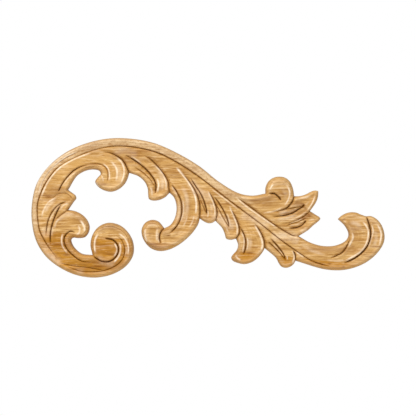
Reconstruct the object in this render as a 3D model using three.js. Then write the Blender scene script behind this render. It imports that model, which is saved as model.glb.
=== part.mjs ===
import * as THREE from "three";

// A carved oak scroll with acanthus leaves, one flat-backed piece to be fixed on a face.
// It lies on the plane Y = 0 with its relief towards -Y, its length along X and +Z up.

// Sizes in millimetres
const LENGTH = 300; // over all, along X
const HEIGHT = 118.6; // over all, along Z
const THICKNESS = 15; // from the flat back to the highest crest
const EDGE_HEIGHT = 5.0; // upright edge all round, before the rounding starts
const GROOVE_DEPTH = 3.4; // of the deepest V cuts below the surface beside them
const THINNEST = 2.4; // wood left under a cut that runs out at the edge
const LIP_HEIGHT = 1.0; // of a rolled leaf margin beside a cut
const EDGE_LIP = 0.45; // of the rolled margin that follows the whole outline

// The pattern is drawn on a squared sheet, x to the right and y down, and its outline is scaled to
// LENGTH and HEIGHT.
// Steps and widths below are in squares of that sheet.
const EDGE_STEP = 2.8; // between points of the outline
const CUT_STEP = 2.5; // between points of a cut
const FILL_STEP = 3.7; // between the points that fill the surface
const CLOSEST = 0.95; // no two points nearer than this
const BLEND = 16; // reach of each spot that sets a level

// The outline, clockwise on the sheet. Each run goes from one corner to the next.
const OUTLINE = [
  // volute, underside, back and top of the scroll, down to the knob
  [[92.4, 255.0], [90.3, 245.0], [92.3, 235.0], [98.2, 226.9], [108.0, 222.7], [119.6, 225.2],
   [128.5, 233.2], [133.2, 243.6], [132.9, 255.0], [126.2, 265.7], [113.8, 273.6], [97.0, 277.5],
   [79.0, 275.8], [62.2, 269.0], [46.2, 256.9], [36.4, 241.8], [31.8, 223.0], [31.8, 203.0],
   [36.8, 182.8], [48.8, 165.8], [66.5, 151.8], [87.0, 142.9], [109.5, 138.3], [132.0, 138.7],
   [154.5, 143.1], [177.2, 153.0], [199.0, 165.9], [218.6, 181.4], [238.0, 192.8], [252.0, 195.5],
   [265.3, 193.4]],
  // knob
  [[265.3, 193.4], [265.6, 187.2], [268.4, 181.4], [273.2, 177.7], [279.4, 176.5], [285.6, 177.8],
   [290.2, 182.0], [293.0, 188.8], [294.2, 196.1]],
  // spike beside the knob, upper and right edges
  [[294.2, 196.1], [300.2, 195.9], [306.0, 194.2], [311.4, 191.4], [314.8, 190.4], [318.3, 190.9]],
  [[318.3, 190.9], [318.0, 196.6], [315.9, 202.4], [310.0, 211.0]],
  // barb below it
  [[310.0, 211.0], [315.0, 214.2], [319.6, 217.2], [320.4, 218.7]],
  [[320.4, 218.7], [319.0, 220.6], [313.4, 225.2], [307.6, 230.4], [298.6, 236.0]],
  // upper edge of the tail, up to the tip of its hook
  [[298.6, 236.0], [310.4, 242.5], [323.5, 246.0], [336.0, 245.4], [346.2, 240.4], [348.7, 234.6],
   [345.4, 226.4], [338.0, 219.0]],
  // round the hook and back under the tail
  [[338.0, 219.0], [342.4, 215.2], [348.6, 212.5], [355.4, 212.3], [361.4, 214.6], [366.0, 216.1],
   [371.4, 216.1], [378.6, 220.8], [383.6, 230.0], [384.2, 241.0], [377.8, 252.4], [364.6, 263.2],
   [346.0, 269.6], [326.0, 269.5], [295.6, 260.8]],
  // small leaf
  [[295.6, 260.8], [293.2, 264.4], [289.4, 267.0], [285.2, 267.8], [281.2, 266.4], [278.6, 262.8],
   [276.0, 258.0], [264.7, 248.2]],
  // hooked leaf
  [[264.7, 248.2], [262.6, 252.0], [258.4, 257.2], [252.4, 261.8], [244.6, 264.1], [237.4, 262.8],
   [232.6, 260.6], [231.2, 257.6], [233.2, 254.2], [236.6, 250.4], [238.0, 244.8], [235.9, 238.7]],
  // third leaf
  [[235.9, 238.7], [230.6, 239.8], [226.2, 238.6], [224.8, 234.4], [222.0, 228.0], [215.3, 220.8]],
  // second leaf
  [[215.3, 220.8], [212.2, 222.8], [208.2, 223.2], [204.2, 221.6], [199.7, 218.5]],
  // great leaf, round its ball to the inner edge
  [[199.7, 218.5], [198.0, 224.4], [193.0, 232.0], [186.0, 239.2], [177.4, 245.6], [168.0, 249.9],
   [159.0, 251.0], [151.4, 248.6], [145.6, 243.2], [142.0, 236.0], [141.6, 228.8], [145.2, 222.6],
   [151.6, 219.8], [158.2, 221.4], [164.2, 228.1]],
  [[164.2, 228.1], [169.8, 225.2], [174.0, 219.4], [176.2, 211.8], [176.0, 203.6], [173.6, 197.0],
   [169.4, 192.8]],
  // first leaf
  [[169.4, 192.8], [164.8, 197.2], [158.6, 200.0], [152.0, 200.4], [148.8, 198.8], [148.0, 194.6],
   [147.6, 188.8], [144.8, 182.2], [138.6, 176.4], [129.0, 172.8]],
  // curl of the bow and its inner edge
  [[129.0, 172.8], [127.2, 178.8], [123.6, 184.8], [117.6, 189.6], [110.4, 191.7], [102.8, 189.8],
   [97.2, 185.8], [95.1, 181.4], [97.4, 177.6], [100.5, 174.0], [99.2, 170.8], [93.0, 169.4],
   [85.4, 170.6], [76.6, 175.8], [67.8, 189.8]],
  // thorn
  [[67.8, 189.8], [71.6, 192.6], [75.0, 195.2], [75.9, 198.2], [73.2, 202.0], [68.0, 209.8]],
  // lower lobe and the inner edge of the foot
  [[68.0, 209.8], [74.6, 211.0], [81.2, 214.2], [86.6, 219.6], [89.3, 226.4], [88.2, 232.8],
   [84.4, 237.2], [78.4, 238.1], [73.2, 237.7], [71.0, 239.6], [72.4, 244.8], [76.4, 250.0],
   [82.0, 253.8], [92.4, 255.0]],
];

// The V cuts. depth is a share of GROOVE_DEPTH, fade the runs in and out at its two ends, and
// left and right hold the width of the wall, the lip as a share of LIP_HEIGHT and the lip's reach,
// as seen along the path on the sheet.
const CUTS = [
  { // the long line that parts the rim from the leaves, and ends under the tail
    path: [[60, 261.5], [47.2, 244.8], [38.8, 224.5], [37.2, 207.0], [41.2, 192.4], [55.0, 171.4],
      [78.0, 156.2], [109.0, 146.7], [124.0, 146.0], [142.0, 149.2], [172.0, 159.7], [205.0, 181.4],
      [245.0, 212.0], [263.0, 227.4], [299.0, 253.6], [313.0, 261.4], [329.0, 266.2]],
    depth: 1.0, fade: [10, 18], left: [4.0, 0, 0], right: [2.6, 0.5, 7] },
  { // upper side of the stem
    path: [[237.5, 198.0], [246.0, 204.6], [256.0, 211.6], [268.0, 220.4], [283.0, 229.8], [298.6, 236.2]],
    depth: 0.85, fade: [10, 0], left: [6.0, 0, 0], right: [3.4, 0.35, 6] },
  { // bead along the inside of the bow
    path: [[59.0, 192.0], [63.0, 183.6], [68.6, 175.8], [76.0, 169.2], [84.5, 165.0], [94.5, 163.8],
      [102.6, 165.4], [107.2, 170.2], [108.6, 176.0], [107.0, 182.0]],
    depth: 0.95, fade: [3, 6], left: [3.2, 0.6, 9], right: [2.4, 0.3, 4] },
  { // back of the bow's curl
    path: [[105.0, 152.4], [113.0, 153.8], [120.5, 158.6], [125.8, 165.4], [129.0, 172.8]],
    depth: 1.1, fade: [14, 0], left: [6.5, 0, 0], right: [2.2, 0.8, 7] },
  { // first leaf, left margin
    path: [[127.5, 156.2], [136.0, 160.6], [144.0, 167.2], [151.0, 174.8], [155.0, 183.0], [155.6, 193.8]],
    depth: 1.15, fade: [10, 4], left: [2.2, 0.8, 6], right: [7.0, 0, 0] },
  { // vein before the first leaf
    path: [[137.0, 170.2], [144.0, 174.2], [150.0, 180.0], [154.6, 187.4]],
    depth: 0.35, fade: [6, 4], left: [1.8, 0.1, 4], right: [2.0, 0.2, 5] },
  { // first leaf, right margin
    path: [[145.5, 155.6], [154.0, 161.6], [161.6, 170.4], [166.8, 179.4], [169.4, 192.8]],
    depth: 1.1, fade: [10, 0], left: [7.0, 0, 0], right: [2.2, 0.8, 6] },
  { // bead along the inside of the great leaf
    path: [[171.6, 185.4], [177.0, 192.0], [181.0, 201.0], [181.7, 211.0], [180.0, 221.0], [175.8, 228.8],
      [169.6, 234.2]],
    depth: 1.0, fade: [5, 7], left: [2.4, 0.8, 8], right: [2.4, 0.3, 4] },
  { // ball at the end of the great leaf
    path: [[164.2, 228.1], [160.8, 232.4], [159.2, 237.0], [160.4, 243.2]],
    depth: 1.15, fade: [0, 4], left: [5.0, 0, 0], right: [3.6, 0.4, 8] },
  { // great leaf, right margin
    path: [[176.0, 168.2], [183.6, 175.6], [191.4, 185.6], [197.4, 196.6], [199.9, 207.6], [199.7, 218.5]],
    depth: 1.15, fade: [20, 0], left: [4.6, 0, 0], right: [2.6, 1.0, 8] },
  { // second leaf, left margin, vein and right margin
    path: [[191.0, 179.4], [197.0, 188.8], [202.2, 198.6], [205.8, 207.4], [206.8, 215.2]],
    depth: 0.95, fade: [5, 3], left: [1.8, 0.5, 5], right: [3.0, 0.1, 4] },
  { path: [[194.6, 190.4], [199.8, 200.2], [204.2, 208.8], [206.8, 215.2]],
    depth: 0.5, fade: [6, 2], left: [1.6, 0.2, 3], right: [1.8, 0.2, 4] },
  { path: [[206.0, 189.6], [211.4, 196.2], [215.6, 204.4], [217.0, 212.6], [215.3, 220.8]],
    depth: 1.0, fade: [12, 0], left: [3.2, 0, 0], right: [2.2, 0.7, 5] },
  { // third leaf, vein, left margin and right margin
    path: [[216.6, 207.6], [221.0, 213.8], [225.2, 220.2], [229.2, 227.6]],
    depth: 0.5, fade: [3, 2], left: [1.6, 0.2, 3], right: [1.8, 0.2, 4] },
  { path: [[213.6, 196.0], [219.4, 203.4], [224.6, 212.4], [227.6, 220.0], [229.2, 227.6]],
    depth: 0.95, fade: [5, 3], left: [1.8, 0.5, 5], right: [3.0, 0.1, 4] },
  { path: [[230.0, 206.6], [234.6, 214.6], [238.2, 223.4], [239.2, 231.6], [235.9, 238.7]],
    depth: 1.0, fade: [10, 0], left: [4.4, 0, 0], right: [2.2, 0.7, 5] },
  { // hooked leaf, inner bead, cut at its tip and right margin
    path: [[240.8, 229.0], [244.4, 236.4], [246.0, 243.6], [244.8, 250.6], [242.8, 254.8]],
    depth: 1.0, fade: [4, 4], left: [2.2, 0.7, 7], right: [2.2, 0.3, 4] },
  { path: [[238.8, 250.4], [237.2, 254.0], [234.8, 257.0]],
    depth: 0.4, fade: [2, 2], left: [1.6, 0.2, 4], right: [1.6, 0, 0] },
  { path: [[254.4, 223.2], [259.2, 231.0], [263.0, 239.2], [264.7, 248.2]],
    depth: 1.1, fade: [10, 0], left: [5.0, 0, 0], right: [2.4, 0.9, 7] },
  { // small leaf, left margin, vein and right margin
    path: [[271.0, 239.4], [277.4, 245.8], [282.6, 252.4], [285.0, 259.8]],
    depth: 0.9, fade: [5, 3], left: [1.8, 0.5, 5], right: [2.4, 0.1, 4] },
  { path: [[267.6, 243.2], [276.0, 249.4], [282.0, 255.0], [285.0, 259.8]],
    depth: 0.55, fade: [4, 2], left: [1.8, 0.2, 3], right: [1.8, 0.2, 4] },
  { path: [[291.4, 249.6], [294.4, 254.6], [295.6, 260.8]],
    depth: 1.0, fade: [4, 0], left: [3.4, 0, 0], right: [2.2, 0.6, 5] },
  { // thorn, its upper margin and vein
    path: [[41.8, 217.0], [43.4, 210.4], [47.6, 203.0], [54.0, 196.8], [61.0, 193.6], [67.0, 193.6],
      [73.0, 197.4]],
    depth: 0.6, fade: [8, 3], left: [4.5, 0, 0], right: [1.8, 0.5, 5] },
  { path: [[46.8, 236.0], [47.4, 225.0], [51.2, 214.2], [57.0, 206.4], [64.0, 201.6], [69.0, 200.0]],
    depth: 0.85, fade: [6, 6], left: [2.2, 0.2, 4], right: [1.8, 0.2, 3] },
  { // lower lobe, its back and its upper margin
    path: [[50.6, 244.0], [50.6, 233.6], [53.0, 221.6], [56.0, 213.2], [60.6, 205.2]],
    depth: 1.15, fade: [6, 6], left: [1.8, 0.2, 3], right: [2.4, 0.5, 6] },
  { path: [[54.6, 220.4], [59.4, 216.2], [64.2, 213.4], [68.0, 209.8]],
    depth: 0.9, fade: [3, 0], left: [3.6, 0, 0], right: [2.2, 0.6, 6] },
  { // bead along the inside of the foot
    path: [[75.6, 232.8], [70.4, 231.2], [65.8, 234.0], [64.0, 240.0], [66.0, 247.2], [71.4, 254.0],
      [78.6, 259.8], [87.0, 261.8], [97.0, 261.0]],
    depth: 1.0, fade: [5, 12], left: [2.4, 0.3, 4], right: [2.4, 0.6, 8] },
  { // lines that run under the foot and round the volute
    path: [[60.0, 263.6], [74.0, 265.8], [88.0, 267.0], [104.0, 270.6]],
    depth: 0.45, fade: [8, 6], left: [2.0, 0.2, 4], right: [2.0, 0.2, 4] },
  { path: [[72.0, 268.0], [84.0, 271.2], [97.0, 271.4], [108.0, 269.4], [117.0, 265.2], [123.2, 257.8],
      [125.2, 249.0], [122.2, 240.0], [114.6, 234.6]],
    depth: 0.6, fade: [8, 8], left: [2.4, 0.5, 5], right: [2.0, 0.4, 4] },
  { path: [[101.0, 227.8], [110.0, 226.4], [120.0, 229.0], [127.6, 235.6], [130.6, 243.6], [130.6, 252.6]],
    depth: 0.35, fade: [6, 8], left: [1.6, 0, 0], right: [2.0, 0.4, 5] },
  { // eye of the volute
    path: [[105.0, 238.4], [112.4, 239.8], [117.6, 244.6], [119.0, 250.6], [116.4, 256.8], [110.4, 261.0],
      [103.0, 261.2], [97.4, 258.6], [92.4, 255.0]],
    depth: 1.25, fade: [4, 0], left: [3.0, 0.6, 6], right: [2.6, 0.3, 7] },
  { // knob, the hook in it and its right margin
    path: [[268.4, 193.2], [273.2, 193.0], [277.8, 196.0], [280.8, 200.6]],
    depth: 0.95, fade: [3, 3], left: [2.6, 0.3, 6], right: [2.6, 0, 0] },
  { path: [[294.2, 196.1], [291.6, 202.0], [287.0, 206.6], [280.0, 209.8], [271.0, 211.6], [263.0, 211.4]],
    depth: 1.1, fade: [0, 22], left: [4.0, 0, 0], right: [2.2, 0.7, 6] },
  { // spike, vein, middle cut and lower margin
    path: [[279.0, 210.8], [288.0, 208.6], [296.0, 206.6], [304.2, 204.6]],
    depth: 0.6, fade: [5, 2], left: [1.8, 0.1, 3], right: [1.6, 0.1, 3] },
  { path: [[273.0, 216.8], [283.0, 215.4], [293.0, 212.4], [299.6, 209.2], [304.2, 204.6]],
    depth: 1.15, fade: [6, 3], left: [2.2, 0.2, 4], right: [2.4, 0.4, 6] },
  { path: [[310.0, 211.0], [304.6, 215.2], [297.0, 219.0], [288.0, 222.0], [279.0, 223.8]],
    depth: 0.9, fade: [0, 16], left: [3.4, 0, 0], right: [2.2, 0.6, 5] },
  { // barb, vein and middle cut
    path: [[289.6, 225.8], [297.0, 223.6], [304.6, 220.8]],
    depth: 0.55, fade: [4, 3], left: [1.6, 0.1, 3], right: [1.6, 0.1, 3] },
  { path: [[289.0, 228.2], [297.0, 227.2], [303.0, 224.4], [306.8, 220.4]],
    depth: 0.95, fade: [4, 3], left: [1.8, 0.1, 3], right: [2.2, 0.3, 5] },
  { // tail, inside and outside of its hook
    path: [[331.0, 257.6], [337.6, 255.0], [343.4, 250.6], [347.6, 245.0], [349.8, 237.6]],
    depth: 0.9, fade: [8, 5], left: [3.4, 0, 0], right: [2.2, 0.7, 7] },
  { path: [[343.6, 263.2], [353.0, 258.8], [361.6, 252.8], [367.6, 245.0], [370.3, 235.0], [369.6, 225.0],
      [366.0, 216.1]],
    depth: 1.25, fade: [8, 0], left: [2.4, 0.9, 8], right: [3.6, 0.3, 5] },
];

// Soft ridges: height as a share of LIP_HEIGHT, reach to each side and fade at both ends.
const RIDGES = [
  { path: [[100.0, 156.4], [108.0, 159.0], [114.6, 165.0], [117.0, 173.0], [115.4, 184.0]],
    height: 0.55, reach: 4.5, fade: 8 },
  { path: [[60.0, 222.0], [68.0, 217.0], [77.0, 217.4], [82.6, 223.0], [82.2, 230.0], [77.0, 233.4]],
    height: 0.5, reach: 4.0, fade: 8 },
  { path: [[50.0, 219.0], [54.6, 210.6], [62.0, 203.6], [70.0, 199.4]],
    height: 0.3, reach: 3.0, fade: 5 },
];

// Levels of the surface between the cuts: place on the sheet, share of THICKNESS, width of the
// rounded edge there.
const SPOTS = [
  [105, 249, 0.98, 5.0], [128, 252, 0.85, 5.0], [108, 228, 0.83, 5.5], [60, 262, 0.69, 5.0],
  [85, 270, 0.71, 5.5], [34, 212, 0.74, 4.2], [80, 226, 0.86, 7.0], [74, 198, 0.55, 3.6],
  [58, 178, 0.77, 4.4], [50, 215, 0.78, 4.4], [112, 141, 0.77, 4.4], [104, 180, 0.84, 6.0],
  [140, 168, 0.69, 4.0], [160, 196, 0.68, 5.0], [170, 150, 0.76, 4.4], [188, 206, 0.82, 5.0],
  [152, 235, 0.94, 9.5], [172, 240, 0.78, 6.0], [208, 216, 0.66, 4.4], [229, 234, 0.66, 4.4],
  [215, 182, 0.78, 4.6], [250, 240, 0.81, 5.0], [236, 258, 0.73, 4.6], [250, 203, 0.76, 5.0],
  [279, 188, 0.96, 8.5], [285, 262, 0.65, 4.4], [316, 194, 0.52, 4.0], [318, 218, 0.53, 4.0],
  [300, 212, 0.68, 4.0], [272, 228, 0.82, 4.6], [310, 252, 0.81, 5.0], [345, 252, 0.82, 5.5],
  [342, 219, 0.58, 4.5], [357, 230, 0.8, 5.0], [379, 234, 0.74, 5.5], [360, 262, 0.77, 5.5],
];

// Points at even steps along the smooth curve through a path.
function along(path, step) {
  const curve = new THREE.CatmullRomCurve3(path.map(([x, y]) => new THREE.Vector3(x, y, 0)));
  curve.arcLengthDivisions = path.length * 24;
  const count = Math.max(2, Math.round(curve.getLength() / step));
  return curve.getSpacedPoints(count).map((p) => new THREE.Vector2(p.x, p.y));
}

// The closed outline, its corners kept, without a repeated point.
function outlineAt(step) {
  return OUTLINE.flatMap((run) => along(run, step).slice(0, -1));
}

// Whether a point is within a closed line.
function within(p, line) {
  let odd = false;
  for (let i = 0, j = line.length - 1; i < line.length; j = i++) {
    const a = line[i], b = line[j];
    if (a.y > p.y !== b.y > p.y && p.x < ((b.x - a.x) * (p.y - a.y)) / (b.y - a.y) + a.x) odd = !odd;
  }
  return odd;
}

// The nearest place of a line to a point: distance, run along the line and side (1 is its right).
function nearest(p, line, closed) {
  let best = { gap: Infinity, run: 0, side: 1 };
  let run = 0;
  const last = closed ? line.length : line.length - 1;
  for (let i = 0; i < last; i++) {
    const a = line[i], b = line[(i + 1) % line.length];
    const dx = b.x - a.x, dy = b.y - a.y, long = Math.hypot(dx, dy);
    const t = THREE.MathUtils.clamp(((p.x - a.x) * dx + (p.y - a.y) * dy) / (long * long), 0, 1);
    const gap = Math.hypot(p.x - a.x - t * dx, p.y - a.y - t * dy);
    if (gap < best.gap) {
      const turn = dx * (p.y - a.y) - dy * (p.x - a.x);
      best = { gap, run: run + t * long, side: turn < 0 ? -1 : 1 };
    }
    run += long;
  }
  best.total = run;
  return best;
}

// A smooth hump of height 1 that ends at -1 and 1.
function hump(x) {
  return Math.abs(x) < 1 ? Math.cos((Math.PI / 2) * x) ** 2 : 0;
}

// How much of a cut is there, a given run from its two ends.
function faded(run, total, [first, last]) {
  const start = first ? Math.min(1, run / first) ** 0.8 : 1;
  return last ? start * Math.min(1, (total - run) / last) ** 0.8 : start;
}

const fineOutline = outlineAt(1);
const fineCuts = CUTS.map((cut) => ({ ...cut, line: along(cut.path, 1) }));
const fineRidges = RIDGES.map((ridge) => ({ ...ridge, line: along(ridge.path, 1) }));

// Level of the surface and width of the rounded edge, blended from the spots.
function groundAt(p) {
  let sum = 1e-9, level = 0, rounding = 0;
  for (const [x, y, share, width] of SPOTS) {
    const weight = Math.exp(-((p.x - x) ** 2 + (p.y - y) ** 2) / (2 * BLEND ** 2)) + 1e-9;
    sum += weight;
    level += weight * share * THICKNESS;
    rounding += weight * width;
  }
  return { level: level / sum, rounding: rounding / sum };
}

// Height of the carving over the flat back, in millimetres, before it is fitted to THICKNESS.
function heightAt(p) {
  const { level, rounding } = groundAt(p);
  const gap = nearest(p, fineOutline, true).gap;
  const rise = Math.min(1, gap / rounding);
  const crown = EDGE_HEIGHT + (level - EDGE_HEIGHT) * Math.sqrt(1 - (1 - rise) ** 2);
  const past = gap > rounding ? (gap - rounding) / (rounding * 1.1) : 1 - rise;
  let lips = (EDGE_LIP * hump(past)) ** 3;
  let groove = 0;
  for (const cut of fineCuts) {
    const at = nearest(p, cut.line, false);
    const [wall, lip, reach] = at.side < 0 ? cut.left : cut.right;
    if (at.gap > Math.max(wall, reach)) continue;
    const share = faded(at.run, at.total, cut.fade);
    const down = Math.max(0, 1 - at.gap / wall);
    groove = Math.max(groove, cut.depth * GROOVE_DEPTH * share * down ** 1.5);
    const roll = at.gap < wall ? 1 - down ** 2 : hump((at.gap - wall) / Math.max(reach - wall, 0.5));
    lips += (lip * LIP_HEIGHT * share * roll) ** 3;
  }
  for (const ridge of fineRidges) {
    const at = nearest(p, ridge.line, false);
    const share = Math.min(1, at.run / ridge.fade) * Math.min(1, (at.total - at.run) / ridge.fade);
    lips += (ridge.height * LIP_HEIGHT * share * hump(at.gap / ridge.reach)) ** 3;
  }
  return Math.max(THINNEST, crown + Math.cbrt(lips) * Math.min(1, rise * 1.3) - groove);
}

// Points on the sheet, none nearer to another than asked.
class Scatter {
  constructor() {
    this.points = [];
    this.cells = new Map();
  }
  key(x, y) {
    return Math.floor(x / 8) * 1000 + Math.floor(y / 8);
  }
  free(p, gap) {
    for (let i = -1; i <= 1; i++)
      for (let j = -1; j <= 1; j++)
        for (const q of this.cells.get(this.key(p.x + 8 * i, p.y + 8 * j)) ?? [])
          if (q.distanceTo(p) < gap) return false;
    return true;
  }
  add(p, gap = 0) {
    if (gap && !this.free(p, gap)) return;
    this.points.push(p);
    const key = this.key(p.x, p.y);
    if (!this.cells.has(key)) this.cells.set(key, []);
    this.cells.get(key).push(p);
  }
}

// Points beside a line, at a distance to its right, or to its left where that is below zero.
function beside(line, offset, closed) {
  return line.map((p, i) => {
    const a = line[closed ? (i + line.length - 1) % line.length : Math.max(0, i - 1)];
    const b = line[closed ? (i + 1) % line.length : Math.min(line.length - 1, i + 1)];
    const way = b.clone().sub(a).normalize();
    return new THREE.Vector2(p.x - way.y * offset, p.y + way.x * offset);
  });
}

// The net of triangles over a set of points in which no point lies in a triangle's circle.
function net(points) {
  const far = 5000;
  const all = [...points, new THREE.Vector2(-far, -far), new THREE.Vector2(far, -far), new THREE.Vector2(0, far)];
  const circled = (i, j, k) => {
    const a = all[i], b = all[j], c = all[k];
    const bx = b.x - a.x, by = b.y - a.y, cx = c.x - a.x, cy = c.y - a.y;
    const d = 2 * (bx * cy - by * cx);
    const ux = (cy * (bx * bx + by * by) - by * (cx * cx + cy * cy)) / d;
    const uy = (bx * (cx * cx + cy * cy) - cx * (bx * bx + by * by)) / d;
    return { ids: [i, j, k], x: a.x + ux, y: a.y + uy, r2: ux * ux + uy * uy };
  };
  const n = points.length;
  let triangles = [circled(n, n + 1, n + 2)];
  const order = points.map((_, i) => i).sort((i, j) => points[i].x - points[j].x);
  const done = [];
  for (const i of order) {
    const p = points[i], kept = [], rim = new Map();
    for (const t of triangles) {
      const dx = p.x - t.x, dy = p.y - t.y;
      if (dx * dx + dy * dy < t.r2) {
        for (let e = 0; e < 3; e++) {
          const a = t.ids[e], b = t.ids[(e + 1) % 3];
          if (!rim.delete(b + "," + a)) rim.set(a + "," + b, [a, b]);
        }
      } else if (dx > 0 && dx * dx > t.r2) done.push(t);
      else kept.push(t);
    }
    triangles = kept;
    for (const [a, b] of rim.values()) triangles.push(circled(a, b, i));
  }
  return [...done, ...triangles].map((t) => t.ids).filter((ids) => ids.every((i) => i < n));
}

// Puts a point in the middle of each outline step that the net leaves out, until none is left out.
function fittedNet(outline, inner) {
  for (;;) {
    const triangles = net([...outline, ...inner]);
    const sides = new Set(triangles.flatMap(([a, b, c]) => [a + "," + b, b + "," + c, c + "," + a]));
    const next = outline.flatMap((p, i) => {
      const j = (i + 1) % outline.length;
      const held = sides.has(i + "," + j) || sides.has(j + "," + i);
      return held ? [p] : [p, p.clone().lerp(outline[j], 0.5)];
    });
    if (next.length === outline.length) return { outline, triangles };
    outline = next;
  }
}

function carvedScroll() {
  const coarse = outlineAt(EDGE_STEP);
  const scatter = new Scatter();
  coarse.forEach((p) => scatter.add(p));
  const placed = coarse.length;
  const put = (p, gap) => {
    if (within(p, fineOutline) && nearest(p, fineOutline, true).gap > 0.9) scatter.add(p, gap);
  };
  for (const cut of CUTS) along(cut.path, CUT_STEP).forEach((p) => put(p, CLOSEST));
  beside(coarse, 1.3, true).forEach((p) => put(p, CLOSEST));
  for (const cut of CUTS) {
    const line = along(cut.path, CUT_STEP);
    beside(line, -cut.left[0], false).forEach((p) => put(p, CLOSEST * 1.3));
    beside(line, cut.right[0], false).forEach((p) => put(p, CLOSEST * 1.3));
  }
  beside(coarse, 4.4, true).forEach((p) => put(p, CLOSEST * 1.7));
  const box = new THREE.Box2().setFromPoints(coarse);
  for (let row = 0, y = box.min.y; y < box.max.y; row++, y += FILL_STEP * 0.866)
    for (let x = box.min.x + (row % 2) * FILL_STEP * 0.5; x < box.max.x; x += FILL_STEP)
      put(new THREE.Vector2(x + 0.13 * Math.sin(row * 7.1 + x), y + 0.13 * Math.cos(x * 3.7)), FILL_STEP * 0.62);

  const { outline, triangles } = fittedNet(coarse, scatter.points.slice(placed));
  const sheet = [...outline, ...scatter.points.slice(placed)];
  const heights = sheet.map(heightAt);
  const wide = LENGTH / (box.max.x - box.min.x);
  const tall = HEIGHT / (box.max.y - box.min.y);
  const middle = box.getCenter(new THREE.Vector2());
  const fit = THICKNESS / Math.max(...heights);
  const positions = [];
  const place = (p, y) => positions.push((p.x - middle.x) * wide, y, (middle.y - p.y) * tall);
  sheet.forEach((p, i) => place(p, -heights[i] * fit));
  outline.forEach((p) => place(p, 0));

  const faces = [];
  const turn = (a, b, c) => (sheet[b].x - sheet[a].x) * (sheet[c].y - sheet[a].y) -
    (sheet[b].y - sheet[a].y) * (sheet[c].x - sheet[a].x);
  for (const [a, b, c] of triangles) {
    const centre = new THREE.Vector2((sheet[a].x + sheet[b].x + sheet[c].x) / 3,
      (sheet[a].y + sheet[b].y + sheet[c].y) / 3);
    if (!within(centre, outline)) continue;
    faces.push(...(turn(a, b, c) < 0 ? [a, b, c] : [a, c, b]));
  }
  const back = sheet.length, count = outline.length;
  for (let i = 0; i < count; i++) {
    const j = (i + 1) % count;
    faces.push(i, j, back + j, i, back + j, back + i);
  }
  for (const [a, b, c] of THREE.ShapeUtils.triangulateShape(outline, []))
    faces.push(back + a, ...(turn(a, b, c) < 0 ? [back + c, back + b] : [back + b, back + c]));

  const geometry = new THREE.BufferGeometry();
  geometry.setAttribute("position", new THREE.Float32BufferAttribute(positions, 3));
  geometry.setIndex(faces);
  geometry.computeVertexNormals();
  return geometry;
}

const oak = new THREE.MeshStandardMaterial({ color: "#cfa36b", roughness: 0.6, metalness: 0 });
oak.name = "oak";

const scroll = new THREE.Mesh(carvedScroll(), oak);
scroll.name = "carved_scroll";

const applique = new THREE.Group();
applique.name = "scroll_applique";
applique.add(scroll);

export default applique;
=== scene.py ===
"""The carved oak scroll applique, dressed: fine carving, oak finish, studio and camera."""

from __future__ import annotations

import logging
import math
from dataclasses import astuple, dataclass, field
from enum import Enum

import bpy
import numpy as np
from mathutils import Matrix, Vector
from mathutils.geometry import delaunay_2d_cdt


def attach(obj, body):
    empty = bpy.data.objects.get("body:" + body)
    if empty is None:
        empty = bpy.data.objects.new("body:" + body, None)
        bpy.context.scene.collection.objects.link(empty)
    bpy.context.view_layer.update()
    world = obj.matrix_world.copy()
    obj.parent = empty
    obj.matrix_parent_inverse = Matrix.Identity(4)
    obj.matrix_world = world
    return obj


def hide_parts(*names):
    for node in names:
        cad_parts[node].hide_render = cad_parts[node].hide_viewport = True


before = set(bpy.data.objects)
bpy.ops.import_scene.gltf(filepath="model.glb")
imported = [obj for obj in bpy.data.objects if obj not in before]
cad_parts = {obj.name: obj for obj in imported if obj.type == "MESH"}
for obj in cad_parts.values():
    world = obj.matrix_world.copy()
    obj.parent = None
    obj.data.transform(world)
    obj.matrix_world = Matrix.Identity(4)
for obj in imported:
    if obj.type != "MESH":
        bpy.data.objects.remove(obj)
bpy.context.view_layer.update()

LOG = logging.getLogger("scroll_applique")
PIECE = "carved_scroll_fine"
MM = 0.001
Feed = float | bpy.types.NodeSocket

# distance under which two points are one, on the sheet, in squares, and on the back, in metres
SHEET_TOLERANCE = 1e-6
BACK_TOLERANCE = 1e-9
# keeps a sum from being divided by nothing
TINY = 1e-9
# what the filling of a ring with triangles gives back: those inside it
INSIDE = 1

# how crests and streaks are drawn: limits in squares of the pattern sheet, and shares
HAIRLINE_REACH = 1.2
BROAD_REACH = 2.5
NARROWING = 0.87
THINNEST_STREAK = 0.85
BROAD_STREAK = 1.5
THIN_STRENGTH = 1.15
BROAD_STRENGTH = 0.68


@dataclass(frozen=True)
class Side:
    """One side of a V cut: width of its wall, lip as a share of the lip height, reach of the lip."""

    wall: float
    lip: float
    reach: float


@dataclass(frozen=True)
class Cut:
    """A V cut along a smooth path on the pattern sheet.

    Args:
        path: points of the cut on the sheet, x to the right and y down, in squares.
        depth: share of the full groove depth.
        fade: run over which the cut comes in at its start and goes out at its end.
        left: wall and lip on the left of the path, as seen on the sheet.
        right: wall and lip on the right of the path.
        rim: whether the cut parts the sanded rim, on its left, from the leaves.
    """

    path: tuple
    depth: float
    fade: tuple[float, float]
    left: Side
    right: Side
    rim: bool = False


@dataclass(frozen=True)
class Crest:
    """A crest along a path with a pale highlight painted along it, or a flat painted sheen where its height
    is 0.

    Args:
        path: points of the crest on the sheet, in squares.
        height: share of the lip height.
        reach: how far the crest goes on both sides, in squares.
        fade: run over which it comes in and goes out.
        painted_highlight: strength of the pale highlight painted along it, from 0 to 1.
    """

    path: tuple
    height: float
    reach: float
    fade: float
    painted_highlight: float

    def drawn_reach(self) -> float:
        """The reach that is carved: a raised crest between a hairline and a broad one is narrowed."""
        between = self.height > 0 and HAIRLINE_REACH < self.reach < BROAD_REACH
        return self.reach * NARROWING if between else self.reach


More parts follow.
